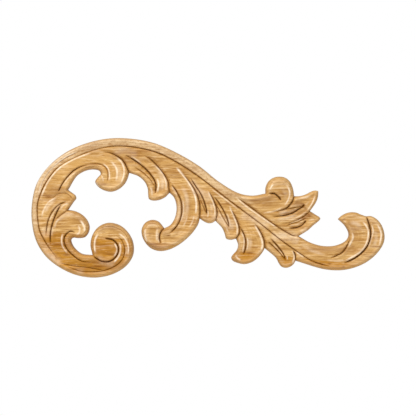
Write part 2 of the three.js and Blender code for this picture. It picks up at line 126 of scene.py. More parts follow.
@dataclass(frozen=True)
class Patch:
    """A soft patch of the wood: its middle, half length, half height and strength, 1 for full."""

    x: float
    y: float
    length: float
    height: float
    strength: float

    def drawn(self) -> Patch:
        """The patch as the dark patches draw it, the wood's dark markings and painted shade: a thin streak
        stronger, a broad one weaker.

        Returns:
            A patch with the strength and height that are drawn.
        """
        share = THIN_STRENGTH if self.height < BROAD_STREAK else BROAD_STRENGTH
        strength = min(1.0, share * self.strength)
        return Patch(self.x, self.y, self.length, max(self.height, THINNEST_STREAK), strength)


# The pattern, on a squared sheet: x to the right and y down. The outline runs clockwise, and each
# of its runs goes from one corner to the next.
OUTLINE = (
    # volute, underside, back and top of the scroll, down to the knob
    ((92.4, 255), (90.3, 245), (92.3, 235), (98.2, 226.9), (108, 222.7), (119.6, 225.2),
     (128.5, 233.2), (133.2, 243.6), (132.9, 255), (126.2, 265.7), (113.8, 273.6), (97, 277.5),
     (79, 275.8), (62.2, 269), (46.2, 256.9), (36.4, 241.8), (31.8, 223), (31.8, 203),
     (36.8, 182.8), (48.8, 165.8), (66.5, 151.8), (87, 142.9), (109.5, 138.3), (132, 138.7),
     (154.5, 143.1), (177.2, 153), (199, 165.9), (218.6, 181.4), (238, 192.8), (252, 195.5),
     (265.3, 193.4)),
    # knob
    ((265.3, 193.4), (265.6, 187.2), (268.4, 181.4), (273.2, 177.7), (279.4, 176.5), (285.6, 177.8),
     (290.2, 182), (293, 188.8), (294.2, 196.1)),
    # spike beside the knob, upper and right edges
    ((294.2, 196.1), (300.2, 195.9), (306, 194.2), (311.4, 191.4), (314.8, 190.4), (318.3, 190.9)),
    ((318.3, 190.9), (318, 196.6), (315.9, 202.4), (310, 211)),
    # barb below it
    ((310, 211), (315, 214.2), (319.6, 217.2), (320.4, 218.7)),
    ((320.4, 218.7), (319, 220.6), (313.4, 225.2), (307.6, 230.4), (298.6, 236)),
    # upper edge of the tail, up to the tip of its hook
    ((298.6, 236), (310.4, 242.5), (323.5, 246), (336, 245.4), (346.2, 240.4), (348.7, 234.6),
     (345.4, 226.4), (338, 219)),
    # round the hook and back under the tail
    ((338, 219), (342.4, 215.2), (348.6, 212.5), (355.4, 212.3), (361.4, 214.6), (366, 216.1),
     (371.4, 216.1), (378.6, 220.8), (383.6, 230), (384.2, 241), (377.8, 252.4), (364.6, 263.2),
     (346, 269.6), (326, 269.5), (295.6, 260.8)),
    # small leaf
    ((295.6, 260.8), (293.2, 264.4), (289.4, 267), (285.2, 267.8), (281.2, 266.4), (278.6, 262.8),
     (276, 258), (264.7, 248.2)),
    # hooked leaf
    ((264.7, 248.2), (262.6, 252), (258.4, 257.2), (252.4, 261.8), (244.6, 264.1), (237.4, 262.8),
     (232.6, 260.6), (231.2, 257.6), (233.2, 254.2), (236.6, 250.4), (238, 244.8), (235.9, 238.7)),
    # third leaf
    ((235.9, 238.7), (230.6, 239.8), (226.2, 238.6), (224.8, 234.4), (222, 228), (215.3, 220.8)),
    # second leaf
    ((215.3, 220.8), (212.2, 222.8), (208.2, 223.2), (204.2, 221.6), (199.7, 218.5)),
    # great leaf, round its ball to the inner edge
    ((199.7, 218.5), (198, 224.4), (193, 232), (186, 239.2), (177.4, 245.6), (168, 249.9),
     (159, 251), (151.4, 248.6), (145.6, 243.2), (142, 236), (141.6, 228.8), (145.2, 222.6),
     (151.6, 219.8), (158.2, 221.4), (164.2, 228.1)),
    ((164.2, 228.1), (169.8, 225.2), (174, 219.4), (176.2, 211.8), (176, 203.6), (173.6, 197),
     (169.4, 192.8)),
    # first leaf
    ((169.4, 192.8), (164.8, 197.2), (158.6, 200), (152, 200.4), (148.8, 198.8), (148, 194.6),
     (147.6, 188.8), (144.8, 182.2), (138.6, 176.4), (129, 172.8)),
    # curl of the bow and its inner edge
    ((129, 172.8), (127.2, 178.8), (123.6, 184.8), (117.6, 189.6), (110.4, 191.7), (102.8, 189.8),
     (97.2, 185.8), (95.1, 181.4), (97.4, 177.6), (100.5, 174), (99.2, 170.8), (93, 169.4),
     (85.4, 170.6), (76.6, 175.8), (67.8, 189.8)),
    # thorn
    ((67.8, 189.8), (71.6, 192.6), (75, 195.2), (75.9, 198.2), (73.2, 202), (68, 209.8)),
    # lower lobe and the inner edge of the foot
    ((68, 209.8), (74.6, 211), (81.2, 214.2), (86.6, 219.6), (89.3, 226.4), (88.2, 232.8),
     (84.4, 237.2), (78.4, 238.1), (73.2, 237.7), (71, 239.6), (72.4, 244.8), (76.4, 250),
     (82, 253.8), (92.4, 255)),
)

# Each cut has its path, its depth, its two fades and its two sides.
CUTS = (
    # the line that parts the rim from the leaves: foot and left side of the bow
    Cut(((59, 260), (52, 251.3), (45, 241), (40, 230.6), (38.2, 221), (37.5, 207), (39, 199),
         (43.4, 187.6), (49.4, 177.5), (58, 167.6), (70, 160.2)),
        0.72, (26, 26), Side(1.2, 0.1, 4), Side(1.4, 0.35, 6), rim=True),
    # the same line over the bow
    Cut(((49.4, 177.5), (58, 167.6), (70, 160.2), (82, 154.6), (94, 150.3), (106, 147.4), (120, 146.1),
         (136, 147.7)),
        0.36, (34, 12), Side(1.4, 0.1, 4), Side(1.8, 0.2, 6), rim=True),
    # the same line over the leaves, and on to its end under the tail
    Cut(((98, 149.3), (112, 146.4), (126, 146.4), (142, 148.6), (158, 153), (174, 160.8), (190, 170.6),
         (205, 181.3), (220, 193.3), (240, 208.5), (260, 223.5), (280, 239.4), (300, 253.5),
         (313, 261.4), (330, 266.4)),
        0.72, (16, 9), Side(1.4, 0.15, 4), Side(1.7, 0.35, 6), rim=True),
    # fillet along the rim's left
    Cut(((38.4, 197), (41, 187.4), (45, 178.4), (51.2, 170), (59, 162.8), (69, 156.4), (80, 151.6)),
        0.34, (10, 12), Side(1.2, 0, 0), Side(1.2, 0.1, 3)),
    # upper side of the stem
    Cut(((236.6, 197.4), (245, 203.2), (255, 210.6), (265, 218), (275, 225.1), (285, 231.5),
         (293, 235.6), (298.6, 236.2)),
        0.85, (8, 4), Side(3, 0, 0), Side(1.6, 0.3, 6)),
    # bead along the inside of the bow
    Cut(((58.4, 192), (62, 184.5), (65, 180), (70, 174.2), (75, 169.8), (82, 166.4), (90, 164.4)),
        0.95, (3, 16), Side(1.2, 0.3, 8), Side(1.4, 0.1, 4)),
    # its run round the curl
    Cut(((84, 165.6), (90, 164.2), (96, 163.8), (102, 165), (106.2, 168), (108, 172.6), (108.2, 177),
         (107, 183)),
        0.46, (20, 5), Side(1.4, 0.4, 7), Side(1.5, 0.1, 4)),
    # second line in the bead
    Cut(((83, 168.4), (90, 166.9), (98, 166.5), (103, 168)),
        0.28, (4, 4), Side(1.2, 0, 0), Side(1.2, 0, 0)),
    # back of the bow's curl
    Cut(((103, 152.2), (110, 153), (117, 156.2), (123, 160.8), (126.6, 167), (129, 172.8)),
        1.1, (15, 0), Side(2.6, 0, 0), Side(1.8, 0.7, 8)),
    # first leaf, left margin
    Cut(((125.6, 155.2), (135, 160.6), (143, 166.6), (150, 173.7), (155, 181.4), (156, 186),
         (155.3, 194)),
        1.15, (9, 4), Side(1.6, 0.5, 6), Side(3, 0, 0)),
    # vein before the first leaf
    Cut(((134, 166.8), (142, 172), (150, 179.3), (155.4, 187.4)),
        0.45, (6, 3), Side(1.2, 0.1, 3), Side(1.2, 0.1, 3)),
    # first leaf, right margin
    Cut(((143.4, 155.2), (150, 159), (160, 169.2), (167.8, 181), (169.4, 192.8)),
        1, (10, 0), Side(4, 0, 0), Side(1.8, 0.8, 8)),
    # bead along the inside of the great leaf
    Cut(((171.2, 184.4), (176, 190.6), (181, 201.2), (181.8, 211), (180.2, 219.5), (177, 225.6),
         (170, 233.6)),
        1, (5, 7), Side(1.5, 0.4, 6), Side(1.8, 0.4, 6)),
    # ball at the end of the great leaf
    Cut(((164.2, 228.1), (160.4, 233), (159.5, 238), (161, 243.8)),
        1.05, (0, 4), Side(2.4, 0, 0), Side(2, 0.3, 8)),
    # great leaf, right margin
    Cut(((177.5, 168.8), (188, 180), (195, 190.5), (199, 200.5), (199.9, 209), (199.7, 218.5)),
        1.05, (22, 0), Side(3.4, 0, 0), Side(1.9, 0.9, 9)),
    # second leaf, left margin, vein and right margin
    Cut(((190.6, 178.6), (195, 185.2), (202, 196.4), (206, 208), (206.8, 214.8)),
        1, (5, 3), Side(1.4, 0.3, 4), Side(1.8, 0.1, 4)),
    Cut(((195, 189.5), (200, 199), (203.4, 207), (206.5, 213.6)),
        0.5, (5, 2), Side(1.2, 0.1, 3), Side(1.2, 0.1, 3)),
    Cut(((209, 191.8), (214, 201), (216.7, 209), (216.9, 215), (215.6, 220.8)),
        0.95, (8, 0), Side(2.4, 0, 0), Side(1.7, 0.7, 5.5)),
    # third leaf, vein, left margin and right margin
    Cut(((213, 200.5), (218.5, 209), (224, 219.2), (229, 227.4)),
        0.6, (4, 2), Side(1.2, 0.1, 3), Side(1.2, 0.1, 3)),
    Cut(((214.2, 196.8), (219, 203.2), (224.6, 212.7), (228, 221.7), (229, 227.6)),
        0.95, (4, 3), Side(1.4, 0.3, 4), Side(1.8, 0.1, 4)),
    Cut(((230.4, 208.4), (235, 216.2), (239, 226.3), (239.5, 232.2), (235.9, 238.7)),
        0.95, (7, 0), Side(2.6, 0, 0), Side(1.7, 0.7, 5.5)),
    # hooked leaf, inner bead, cut at its tip and right margin
    Cut(((240.1, 227.4), (244.3, 235.2), (245.8, 243.3), (245, 249.6), (243, 255)),
        0.95, (4, 4), Side(1.5, 0.3, 6), Side(1.7, 0.3, 4)),
    Cut(((238.4, 250), (235.6, 253.2), (232.8, 256.8)),
        0.45, (2, 2), Side(1.3, 0.1, 3), Side(1.3, 0, 0)),
    Cut(((254.6, 223.4), (261, 233.2), (264.3, 241.6), (264.7, 248.2)),
        1.05, (8, 0), Side(3.4, 0, 0), Side(1.8, 0.9, 8)),
    # small leaf, left margin, vein and right margin
    Cut(((270.2, 238.2), (278, 246.7), (283.6, 254.6), (285.4, 260.6)),
        0.95, (5, 3), Side(1.4, 0.3, 4), Side(1.6, 0.1, 4)),
    Cut(((267.6, 241.2), (274, 247), (282, 255.6), (285, 260)),
        0.6, (4, 2), Side(1.2, 0.1, 3), Side(1.2, 0.1, 3)),
    Cut(((292.6, 249.8), (295, 255), (295.6, 260.8)),
        1.15, (3, 0), Side(2.2, 0, 0), Side(1.6, 0.6, 5)),
    # thorn, its upper margin and vein
    Cut(((52, 199.2), (56, 195.6), (60, 193.7), (64, 193.3), (69, 194.9), (73.4, 199.8)),
        0.35, (5, 3), Side(2.4, 0, 0), Side(1.3, 0.3, 5)),
    Cut(((46.3, 236), (46.9, 228.5), (48.6, 220), (52.2, 212.3), (58, 205.6), (67, 201)),
        0.8, (6, 6), Side(1.4, 0.2, 4), Side(1.4, 0.2, 3)),
    # lower lobe, its back and its upper margin
    Cut(((50.6, 244.6), (50.5, 235.4), (52, 226), (55.6, 215.4), (59.3, 207.6), (62, 203.8)),
        1.1, (6, 6), Side(1.4, 0.2, 3), Side(1.8, 0.4, 5)),
    Cut(((55.2, 219.8), (60.5, 215.6), (65.5, 211.8), (68, 209.8)),
        0.5, (3, 0), Side(2.2, 0, 0), Side(1.6, 0.6, 6)),
    # bead along the inside of the foot
    Cut(((76, 232.8), (70.5, 231.2), (65.2, 236), (64.4, 242), (67.2, 248.8), (75, 256.7), (82, 261),
         (93, 262.2)),
        0.85, (5, 18), Side(1.2, 0.2, 4), Side(1.3, 0.6, 7)),
    # lines that run under the foot and round the volute
    Cut(((59, 262.6), (70, 265.2), (80, 266.6), (90, 267.6), (106, 270.7)),
        0.5, (8, 6), Side(1.3, 0.1, 3), Side(1.3, 0.1, 3)),
    Cut(((67, 266), (80, 270.9), (98, 271.3), (109, 268.9), (118.5, 263.6), (123.6, 257),
         (124.8, 247.6), (120.4, 238.2), (112.4, 234.2)),
        0.4, (10, 18), Side(1.2, 0.4, 5), Side(1.2, 0.3, 4)),
    Cut(((95.4, 231.4), (101, 228), (110, 226.3), (121, 229.8), (127.8, 237.4), (130.5, 249.5),
         (129.8, 257)),
        0.35, (6, 8), Side(1.2, 0, 0), Side(1.2, 0.2, 4)),
    Cut(((94.2, 254), (93.1, 246), (94.2, 237.4), (97.6, 230.6)),
        0.3, (4, 4), Side(1.2, 0.2, 3), Side(1.2, 0, 0)),
    # eye of the volute
    Cut(((105.2, 238.3), (113, 239.8), (117.8, 245), (118.6, 251.2), (115.4, 257.4), (109, 261.4),
         (102, 261.1), (96, 257.8), (92.4, 255)),
        1.15, (2.5, 6), Side(1.5, 0.4, 6), Side(1.7, 0.3, 7)),
    # fine lines round the rolled ends: knob, ball, lobe and curl
    Cut(((270.2, 191.6), (269.6, 186.2), (272.4, 181), (277.6, 178.6), (284, 179.6), (289.6, 184.4),
         (291.9, 191), (291.4, 197.6)),
        0.16, (4, 4), Side(1.2, 0, 0), Side(1.2, 0, 0)),
    Cut(((144.6, 238), (144.2, 231), (147, 225.6), (152.4, 223.2), (157, 224.8), (160.2, 228.8)),
        0.16, (4, 2), Side(1.2, 0, 0), Side(1.2, 0, 0)),
    Cut(((70.6, 212.6), (77, 212.8), (83, 216.6), (86.8, 223), (86.8, 230), (82.6, 235)),
        0.2, (4, 4), Side(1.2, 0, 0), Side(1.2, 0, 0)),
    Cut(((126.2, 170), (126.4, 176.4), (123.6, 183), (117.6, 188.4), (109, 190)),
        0.16, (3, 5), Side(1.2, 0, 0), Side(1.2, 0, 0)),
    # knob, the hook in it and its right margin
    Cut(((268, 193.8), (273.5, 193.4), (278.6, 197.2), (281, 200.8)),
        1.25, (4, 2), Side(1.7, 0.2, 6), Side(2.2, 0, 0)),
    Cut(((294.2, 196.1), (291.6, 202), (286.5, 207.6), (279, 210.6), (270, 211.8)),
        1, (0, 16), Side(2.6, 0, 0), Side(1.7, 0.6, 7)),
    # spike, vein, middle cut and lower margin
    Cut(((279, 210.6), (290, 208.5), (300, 206.5), (305, 205.6)),
        0.55, (5, 2), Side(1.2, 0.1, 3), Side(1.2, 0.1, 3)),
    Cut(((272, 216.9), (284, 215.3), (293, 212.6), (299, 208.7), (302.4, 206.8), (304, 203.8)),
        1.15, (12, 2), Side(2.6, 0.1, 5), Side(2.2, 0.3, 5)),
    Cut(((310, 211), (303, 216.5), (293, 221.6), (280, 224.4)),
        0.5, (0, 16), Side(2.2, 0, 0), Side(1.6, 0.6, 6)),
    # barb, vein and middle cut
    Cut(((285.6, 226), (291, 223.7), (297, 222), (306, 218.4)),
        0.5, (4, 3), Side(1.2, 0.1, 3), Side(1.2, 0.1, 3)),
    Cut(((288.6, 228.2), (296, 227.6), (302, 224.9), (306, 220.4)),
        1, (4, 2), Side(2.4, 0.1, 4), Side(2, 0.3, 5)),
    # tail, inside and outside of its hook
    Cut(((330, 257.8), (337, 255.1), (342.7, 251.5), (347.2, 244.4), (349.9, 237)),
        0.9, (6, 5), Side(2.2, 0, 0), Side(1.6, 0.6, 7)),
    Cut(((343.6, 262.8), (354, 258), (362, 251.8), (368.1, 243.6), (370.4, 234), (368.9, 225),
         (366, 216.1)),
        1.25, (6, 3), Side(1.9, 0.8, 9), Side(1.9, 0.3, 6)),
)

# Each crest has its path, its height, its reach, its fade and the strength of the highlight painted along
# it.
CRESTS = (
    # broad swellings of the bow's curl, the lower lobe and the thorn
    Crest(((100, 156.4), (108, 159), (114.6, 165), (117, 173), (115.4, 184)), 0.55, 4.5, 8, 0),
    Crest(((60, 222), (68, 217), (77, 217.4), (82.6, 223), (82.2, 230), (77, 233.4)), 0.5, 4, 8, 0),
    Crest(((50, 219), (54.6, 210.6), (62, 203.6), (70, 199.4)), 0.3, 3, 5, 0),
    # rim and bow
    Crest(((38.6, 196), (41.4, 185.6), (46.6, 175.4), (55.2, 165.6), (66, 157), (78, 151.4)),
          0.3, 1.3, 8, 0.95),
    Crest(((40.8, 199), (45.2, 188), (51, 177.8), (60, 168), (70, 161.6), (82, 156.2), (92, 152.6)),
          0.2, 1.2, 8, 0.95),
    Crest(((36.2, 190), (40, 178.4), (47, 169.2), (56, 161), (66, 154.2), (78, 148.6)), 0.2, 1.3, 8, 0.6),
    Crest(((63.6, 185), (68, 178.8), (77, 171)), 0.1, 1.1, 4, 0.55),
    # bow's curl
    Crest(((116.6, 156.8), (122.6, 163.8), (124.3, 172), (122.4, 180.2), (120.6, 185)), 0.3, 1.5, 5, 0.85),
    Crest(((110.5, 160.6), (116.4, 168), (117.3, 176), (116, 181.6)), 0.4, 1.9, 5, 0.9),
    Crest(((103, 163.2), (108.6, 169.2), (109.7, 177), (109.2, 181)), 0.15, 1.1, 3, 0.8),
    Crest(((100.4, 174), (103, 178), (103.4, 182)), 0.1, 1, 2, 0.5),
    Crest(((96.4, 181.4), (97.6, 184.4), (100, 187)), 0.1, 1.2, 1.5, 0.6),
    # thorn
    Crest(((42, 217.4), (43.6, 211), (49.4, 201.8), (57.5, 197.3)), 0.35, 1.5, 5, 0.75),
    Crest(((49.4, 221.6), (52.4, 215.4), (58, 207.8)), 0.1, 0.9, 3, 0.5),
    Crest(((60.6, 210), (63.4, 205.6), (69, 202.4)), 0.1, 1.2, 3, 0.6),
    # lower lobe
    Crest(((54.6, 228.4), (57.4, 221), (63.4, 217)), 0.3, 1.6, 3, 0.55),
    Crest(((53.6, 226), (52.3, 231), (52.1, 236)), 0.1, 0.9, 2, 0.55),
    Crest(((80.4, 220), (83.4, 224), (84.9, 228.4), (84.6, 231.6)), 0.4, 1.7, 2.5, 1),
    Crest(((78.2, 225), (80.1, 229), (79.4, 232.6), (76.4, 234.8)), 0.25, 1.7, 2.5, 0.7),
    # foot and volute
    Crest(((63, 233), (61.9, 239), (62.9, 246), (67.8, 253.4)), 0.25, 1.4, 3, 0.75),
    Crest(((98.8, 233.6), (95.6, 239), (94.9, 246), (95.5, 252.6)), 0.35, 1.5, 2.5, 0.95),
    Crest(((114.4, 242.6), (117.1, 248), (116.4, 252.8), (114, 256.6)), 0.15, 1.2, 2, 0.85),
    Crest(((119.6, 242), (120.8, 248), (119.2, 255.4), (113.8, 262.6)), 0.3, 1.6, 3, 1),
    Crest(((118.2, 232.8), (124.6, 237.8), (128.4, 246), (128, 255)), 0.3, 1.5, 4, 0.85),
    Crest(((126.2, 246), (126.5, 250.6), (125.4, 256)), 0.1, 1, 2, 0.5),
    # first leaf
    Crest(((131, 156.3), (136, 159.5), (141.4, 163.4)), 0.1, 0.9, 2, 0.6),
    Crest(((157, 178), (158.7, 184), (157.3, 192.4)), 0.3, 1.8, 3, 0.95),
    Crest(((153.6, 164), (161.6, 172.4), (166, 182), (165.8, 190.4)), 0.35, 1.6, 7, 0.9),
    Crest(((150.4, 186.6), (151.8, 191), (152.2, 196)), 0.1, 1.2, 2, 0.55),
    # great leaf
    Crest(((171.6, 186), (174.8, 190.8), (177.4, 196)), 0.1, 0.9, 2, 0.6),
    Crest(((182.3, 199), (183.5, 207), (182.9, 214.6), (179.8, 222.6)), 0.15, 1.2, 4, 0.6),
    Crest(((176.2, 167.4), (186, 178.8), (193, 190.4), (196.1, 201.6), (195.7, 214)), 0.5, 1.7, 4, 1),
    Crest(((194.2, 215), (192.2, 222), (188.4, 228.4)), 0.1, 1.1, 3, 0.5),
    Crest(((187.4, 213), (186.2, 220), (182.6, 227)), 0.1, 1.2, 3, 0.45),
    # ball
    Crest(((145.8, 228), (144.8, 233.4), (147.2, 242.4)), 0.35, 1.9, 3, 0.8),
    Crest(((157.8, 228), (156.8, 234), (157.2, 241)), 0.35, 2, 3, 0.7),
    Crest(((158.7, 232), (158.4, 237.6), (159.2, 242.6)), 0.1, 0.9, 1.5, 0.7),
    # second and third leaf
    Crest(((207.7, 210), (208.1, 214.6), (207.2, 217.4)), 0.1, 0.9, 1.5, 0.7),
    Crest(((207.4, 190.6), (212.2, 200.2), (214.6, 209), (214.9, 216.6)), 0.35, 1.4, 4, 0.85),
    Crest(((218.4, 212.6), (223.6, 221.8), (228.6, 233)), 0.1, 1, 3, 0.6),
    Crest(((226.4, 213), (229.4, 220.6), (230, 228.4)), 0.1, 1, 3, 0.6),
    Crest(((229.2, 206), (233.6, 216.2), (237, 226.2), (236.8, 235.6)), 0.35, 1.4, 4, 0.95),
    # hooked leaf
    Crest(((241.2, 231.4), (243.9, 239), (242.5, 252.6)), 0.1, 1, 3, 0.65),
    Crest(((239.4, 235.6), (239, 243), (238.4, 249.4)), 0.1, 1, 3, 0.45),
    Crest(((246.6, 236), (247.8, 242), (246.6, 250.6)), 0.15, 1.3, 3, 0.75),
    Crest(((254.4, 224.6), (259.8, 234.4), (262.4, 244.6), (260.4, 252.4)), 0.45, 1.8, 4, 1),
    Crest(((235.2, 254.6), (237.4, 258), (240.6, 259.8)), 0.15, 1.6, 1.5, 0.6),
    # stem
    Crest(((211.6, 189), (222, 196.8), (238.4, 209.4)), 0.1, 1, 4, 0.6),
    Crest(((238.4, 209.4), (250, 218.6), (263, 228.2)), 0.1, 0.9, 5, 0.4),
    Crest(((236.2, 197.2), (244, 204.6), (262, 217.6), (277, 227.8)), 0.25, 1.3, 5, 0.85),
    # knob
    Crest(((273.4, 184), (271, 186.8), (269.6, 190)), 0.3, 1.2, 1.6, 1),
    Crest(((286, 184.6), (288.9, 190), (289.3, 195), (287.6, 200.4), (284, 205.6)), 0.3, 1.25, 5, 1),
    Crest(((283.6, 206.4), (275, 210.8), (262.4, 212.9)), 0.1, 1.2, 5, 0.5),
    # spike and barb
    Crest(((278, 214.2), (288, 212.2), (299.4, 207.6)), 0.1, 1, 4, 0.35),
    Crest(((314.8, 195), (313.3, 200), (310.3, 206), (307, 210.6)), 0.25, 1.3, 3, 0.85),
    Crest(((288, 220), (299, 216.4), (306.8, 211)), 0.15, 1.3, 4, 0.4),
    Crest(((314.4, 219.2), (311, 219.6), (308, 221)), 0.1, 1.6, 1.5, 0.5),
    Crest(((288.6, 225.6), (295, 224.6), (303, 221.8)), 0.15, 1, 3, 0.4),
    Crest(((289, 223.4), (298, 219.9), (302.6, 218.3)), 0.1, 0.9, 3, 0.5),
    Crest(((305.2, 205), (307, 203.2), (309, 201.6)), 0.1, 1.1, 1.5, 0.3),
    # small leaf
    Crest(((291.8, 250), (294.1, 255.4), (292.2, 264)), 0.25, 1.4, 2.5, 0.85),
    Crest(((286.6, 254.6), (287.3, 260)), 0.1, 0.9, 1.5, 0.6),
    Crest(((272.6, 243.4), (278, 249.2), (282.4, 253.8)), 0.1, 0.8, 2, 0.45),
    # tail
    Crest(((295.4, 251.4), (299, 254), (304, 257.2)), 0.1, 1.1, 2, 0.8),
    Crest(((351.2, 232), (352.6, 237), (348, 246.8)), 0.25, 1.6, 3, 0.7),
    Crest(((362, 221), (367.5, 229.6), (366.6, 241), (361, 250.8), (344.6, 260.8)), 0.35, 1.6, 4, 0.95),
    Crest(((370.9, 224), (372.5, 231), (367.6, 247.8)), 0.15, 1.3, 4, 0.7),
    Crest(((376.6, 224), (380.6, 233), (378.8, 245.6)), 0.35, 1.6, 3, 0.9),
    Crest(((343, 221), (345.6, 222.2)), 0.1, 1.2, 0.8, 0.5),
    Crest(((326, 259.8), (336, 260.8), (346, 259.8)), 0.1, 1, 4, 0.45),
    # broad painted sheens: pale painted highlight on flat wood, with no crest carved under it
    Crest(((296.5, 198), (304, 197.6), (311, 195.4)), 0, 1.8, 4, 0.45),
    Crest(((276, 219.6), (288, 217.5), (297, 214.6)), 0, 2.4, 5, 0.35),
    Crest(((181, 184), (186.4, 197), (186.8, 210), (182, 224)), 0, 3.4, 8, 0.3),
    Crest(((112, 163), (119.6, 172), (118.6, 184)), 0, 5, 8, 0.3),
    Crest(((158, 170), (162.4, 181), (161.6, 192)), 0, 3.6, 6, 0.35),
    Crest(((44, 213), (48.4, 205.6), (56, 199.4)), 0, 3.6, 5, 0.35),
    Crest(((58, 221), (66, 214.6), (75, 214.4)), 0, 3.4, 6, 0.4),
    Crest(((209.6, 201), (211.6, 208), (211.2, 216)), 0, 2.4, 4, 0.3),
    Crest(((249, 236), (250.4, 243), (248.6, 251)), 0, 2.6, 4, 0.3),
    Crest(((348, 222), (356, 223.4), (361.6, 229)), 0, 3.6, 5, 0.35),
    Crest(((374, 230), (375.6, 238), (372.6, 248)), 0, 3, 5, 0.3),
    Crest(((300, 243.6), (312, 250.6), (326, 255.4)), 0, 2.6, 8, 0.3),
    Crest(((280, 186.6), (285, 193), (284.6, 201)), 0, 3, 4, 0.15),
    Crest(((44, 226), (49, 238)), 0, 8, 4, 0.34),
    Crest(((44, 246), (52, 256), (62, 264)), 0, 6, 4, 0.36),
    Crest(((74, 271), (86, 272)), 0, 5, 4, 0.2),
    Crest(((52, 211), (62, 204)), 0, 5, 3, 0.25),
    Crest(((112, 152), (126, 151), (138, 156)), 0, 6, 4, 0.18),
    Crest(((189, 180), (197, 190), (212, 200)), 0, 7, 4, 0.32),
    Crest(((212, 213), (222, 220), (236, 228)), 0, 8, 4, 0.28),
    Crest(((240, 214), (254, 219), (270, 227)), 0, 7, 4, 0.32),
    Crest(((270, 236), (286, 236), (300, 240)), 0, 8, 3, 0.4),
    Crest(((278, 214), (288, 212)), 0, 5, 3, 0.3),
    Crest(((178.5, 203), (179, 214), (175, 222)), 0, 4, 4, 0.3),
    Crest(((300, 233), (308, 229)), 0, 4, 2, 0.4),
    Crest(((98, 254), (104, 262), (116, 264)), 0, 5, 4, 0.2),
)
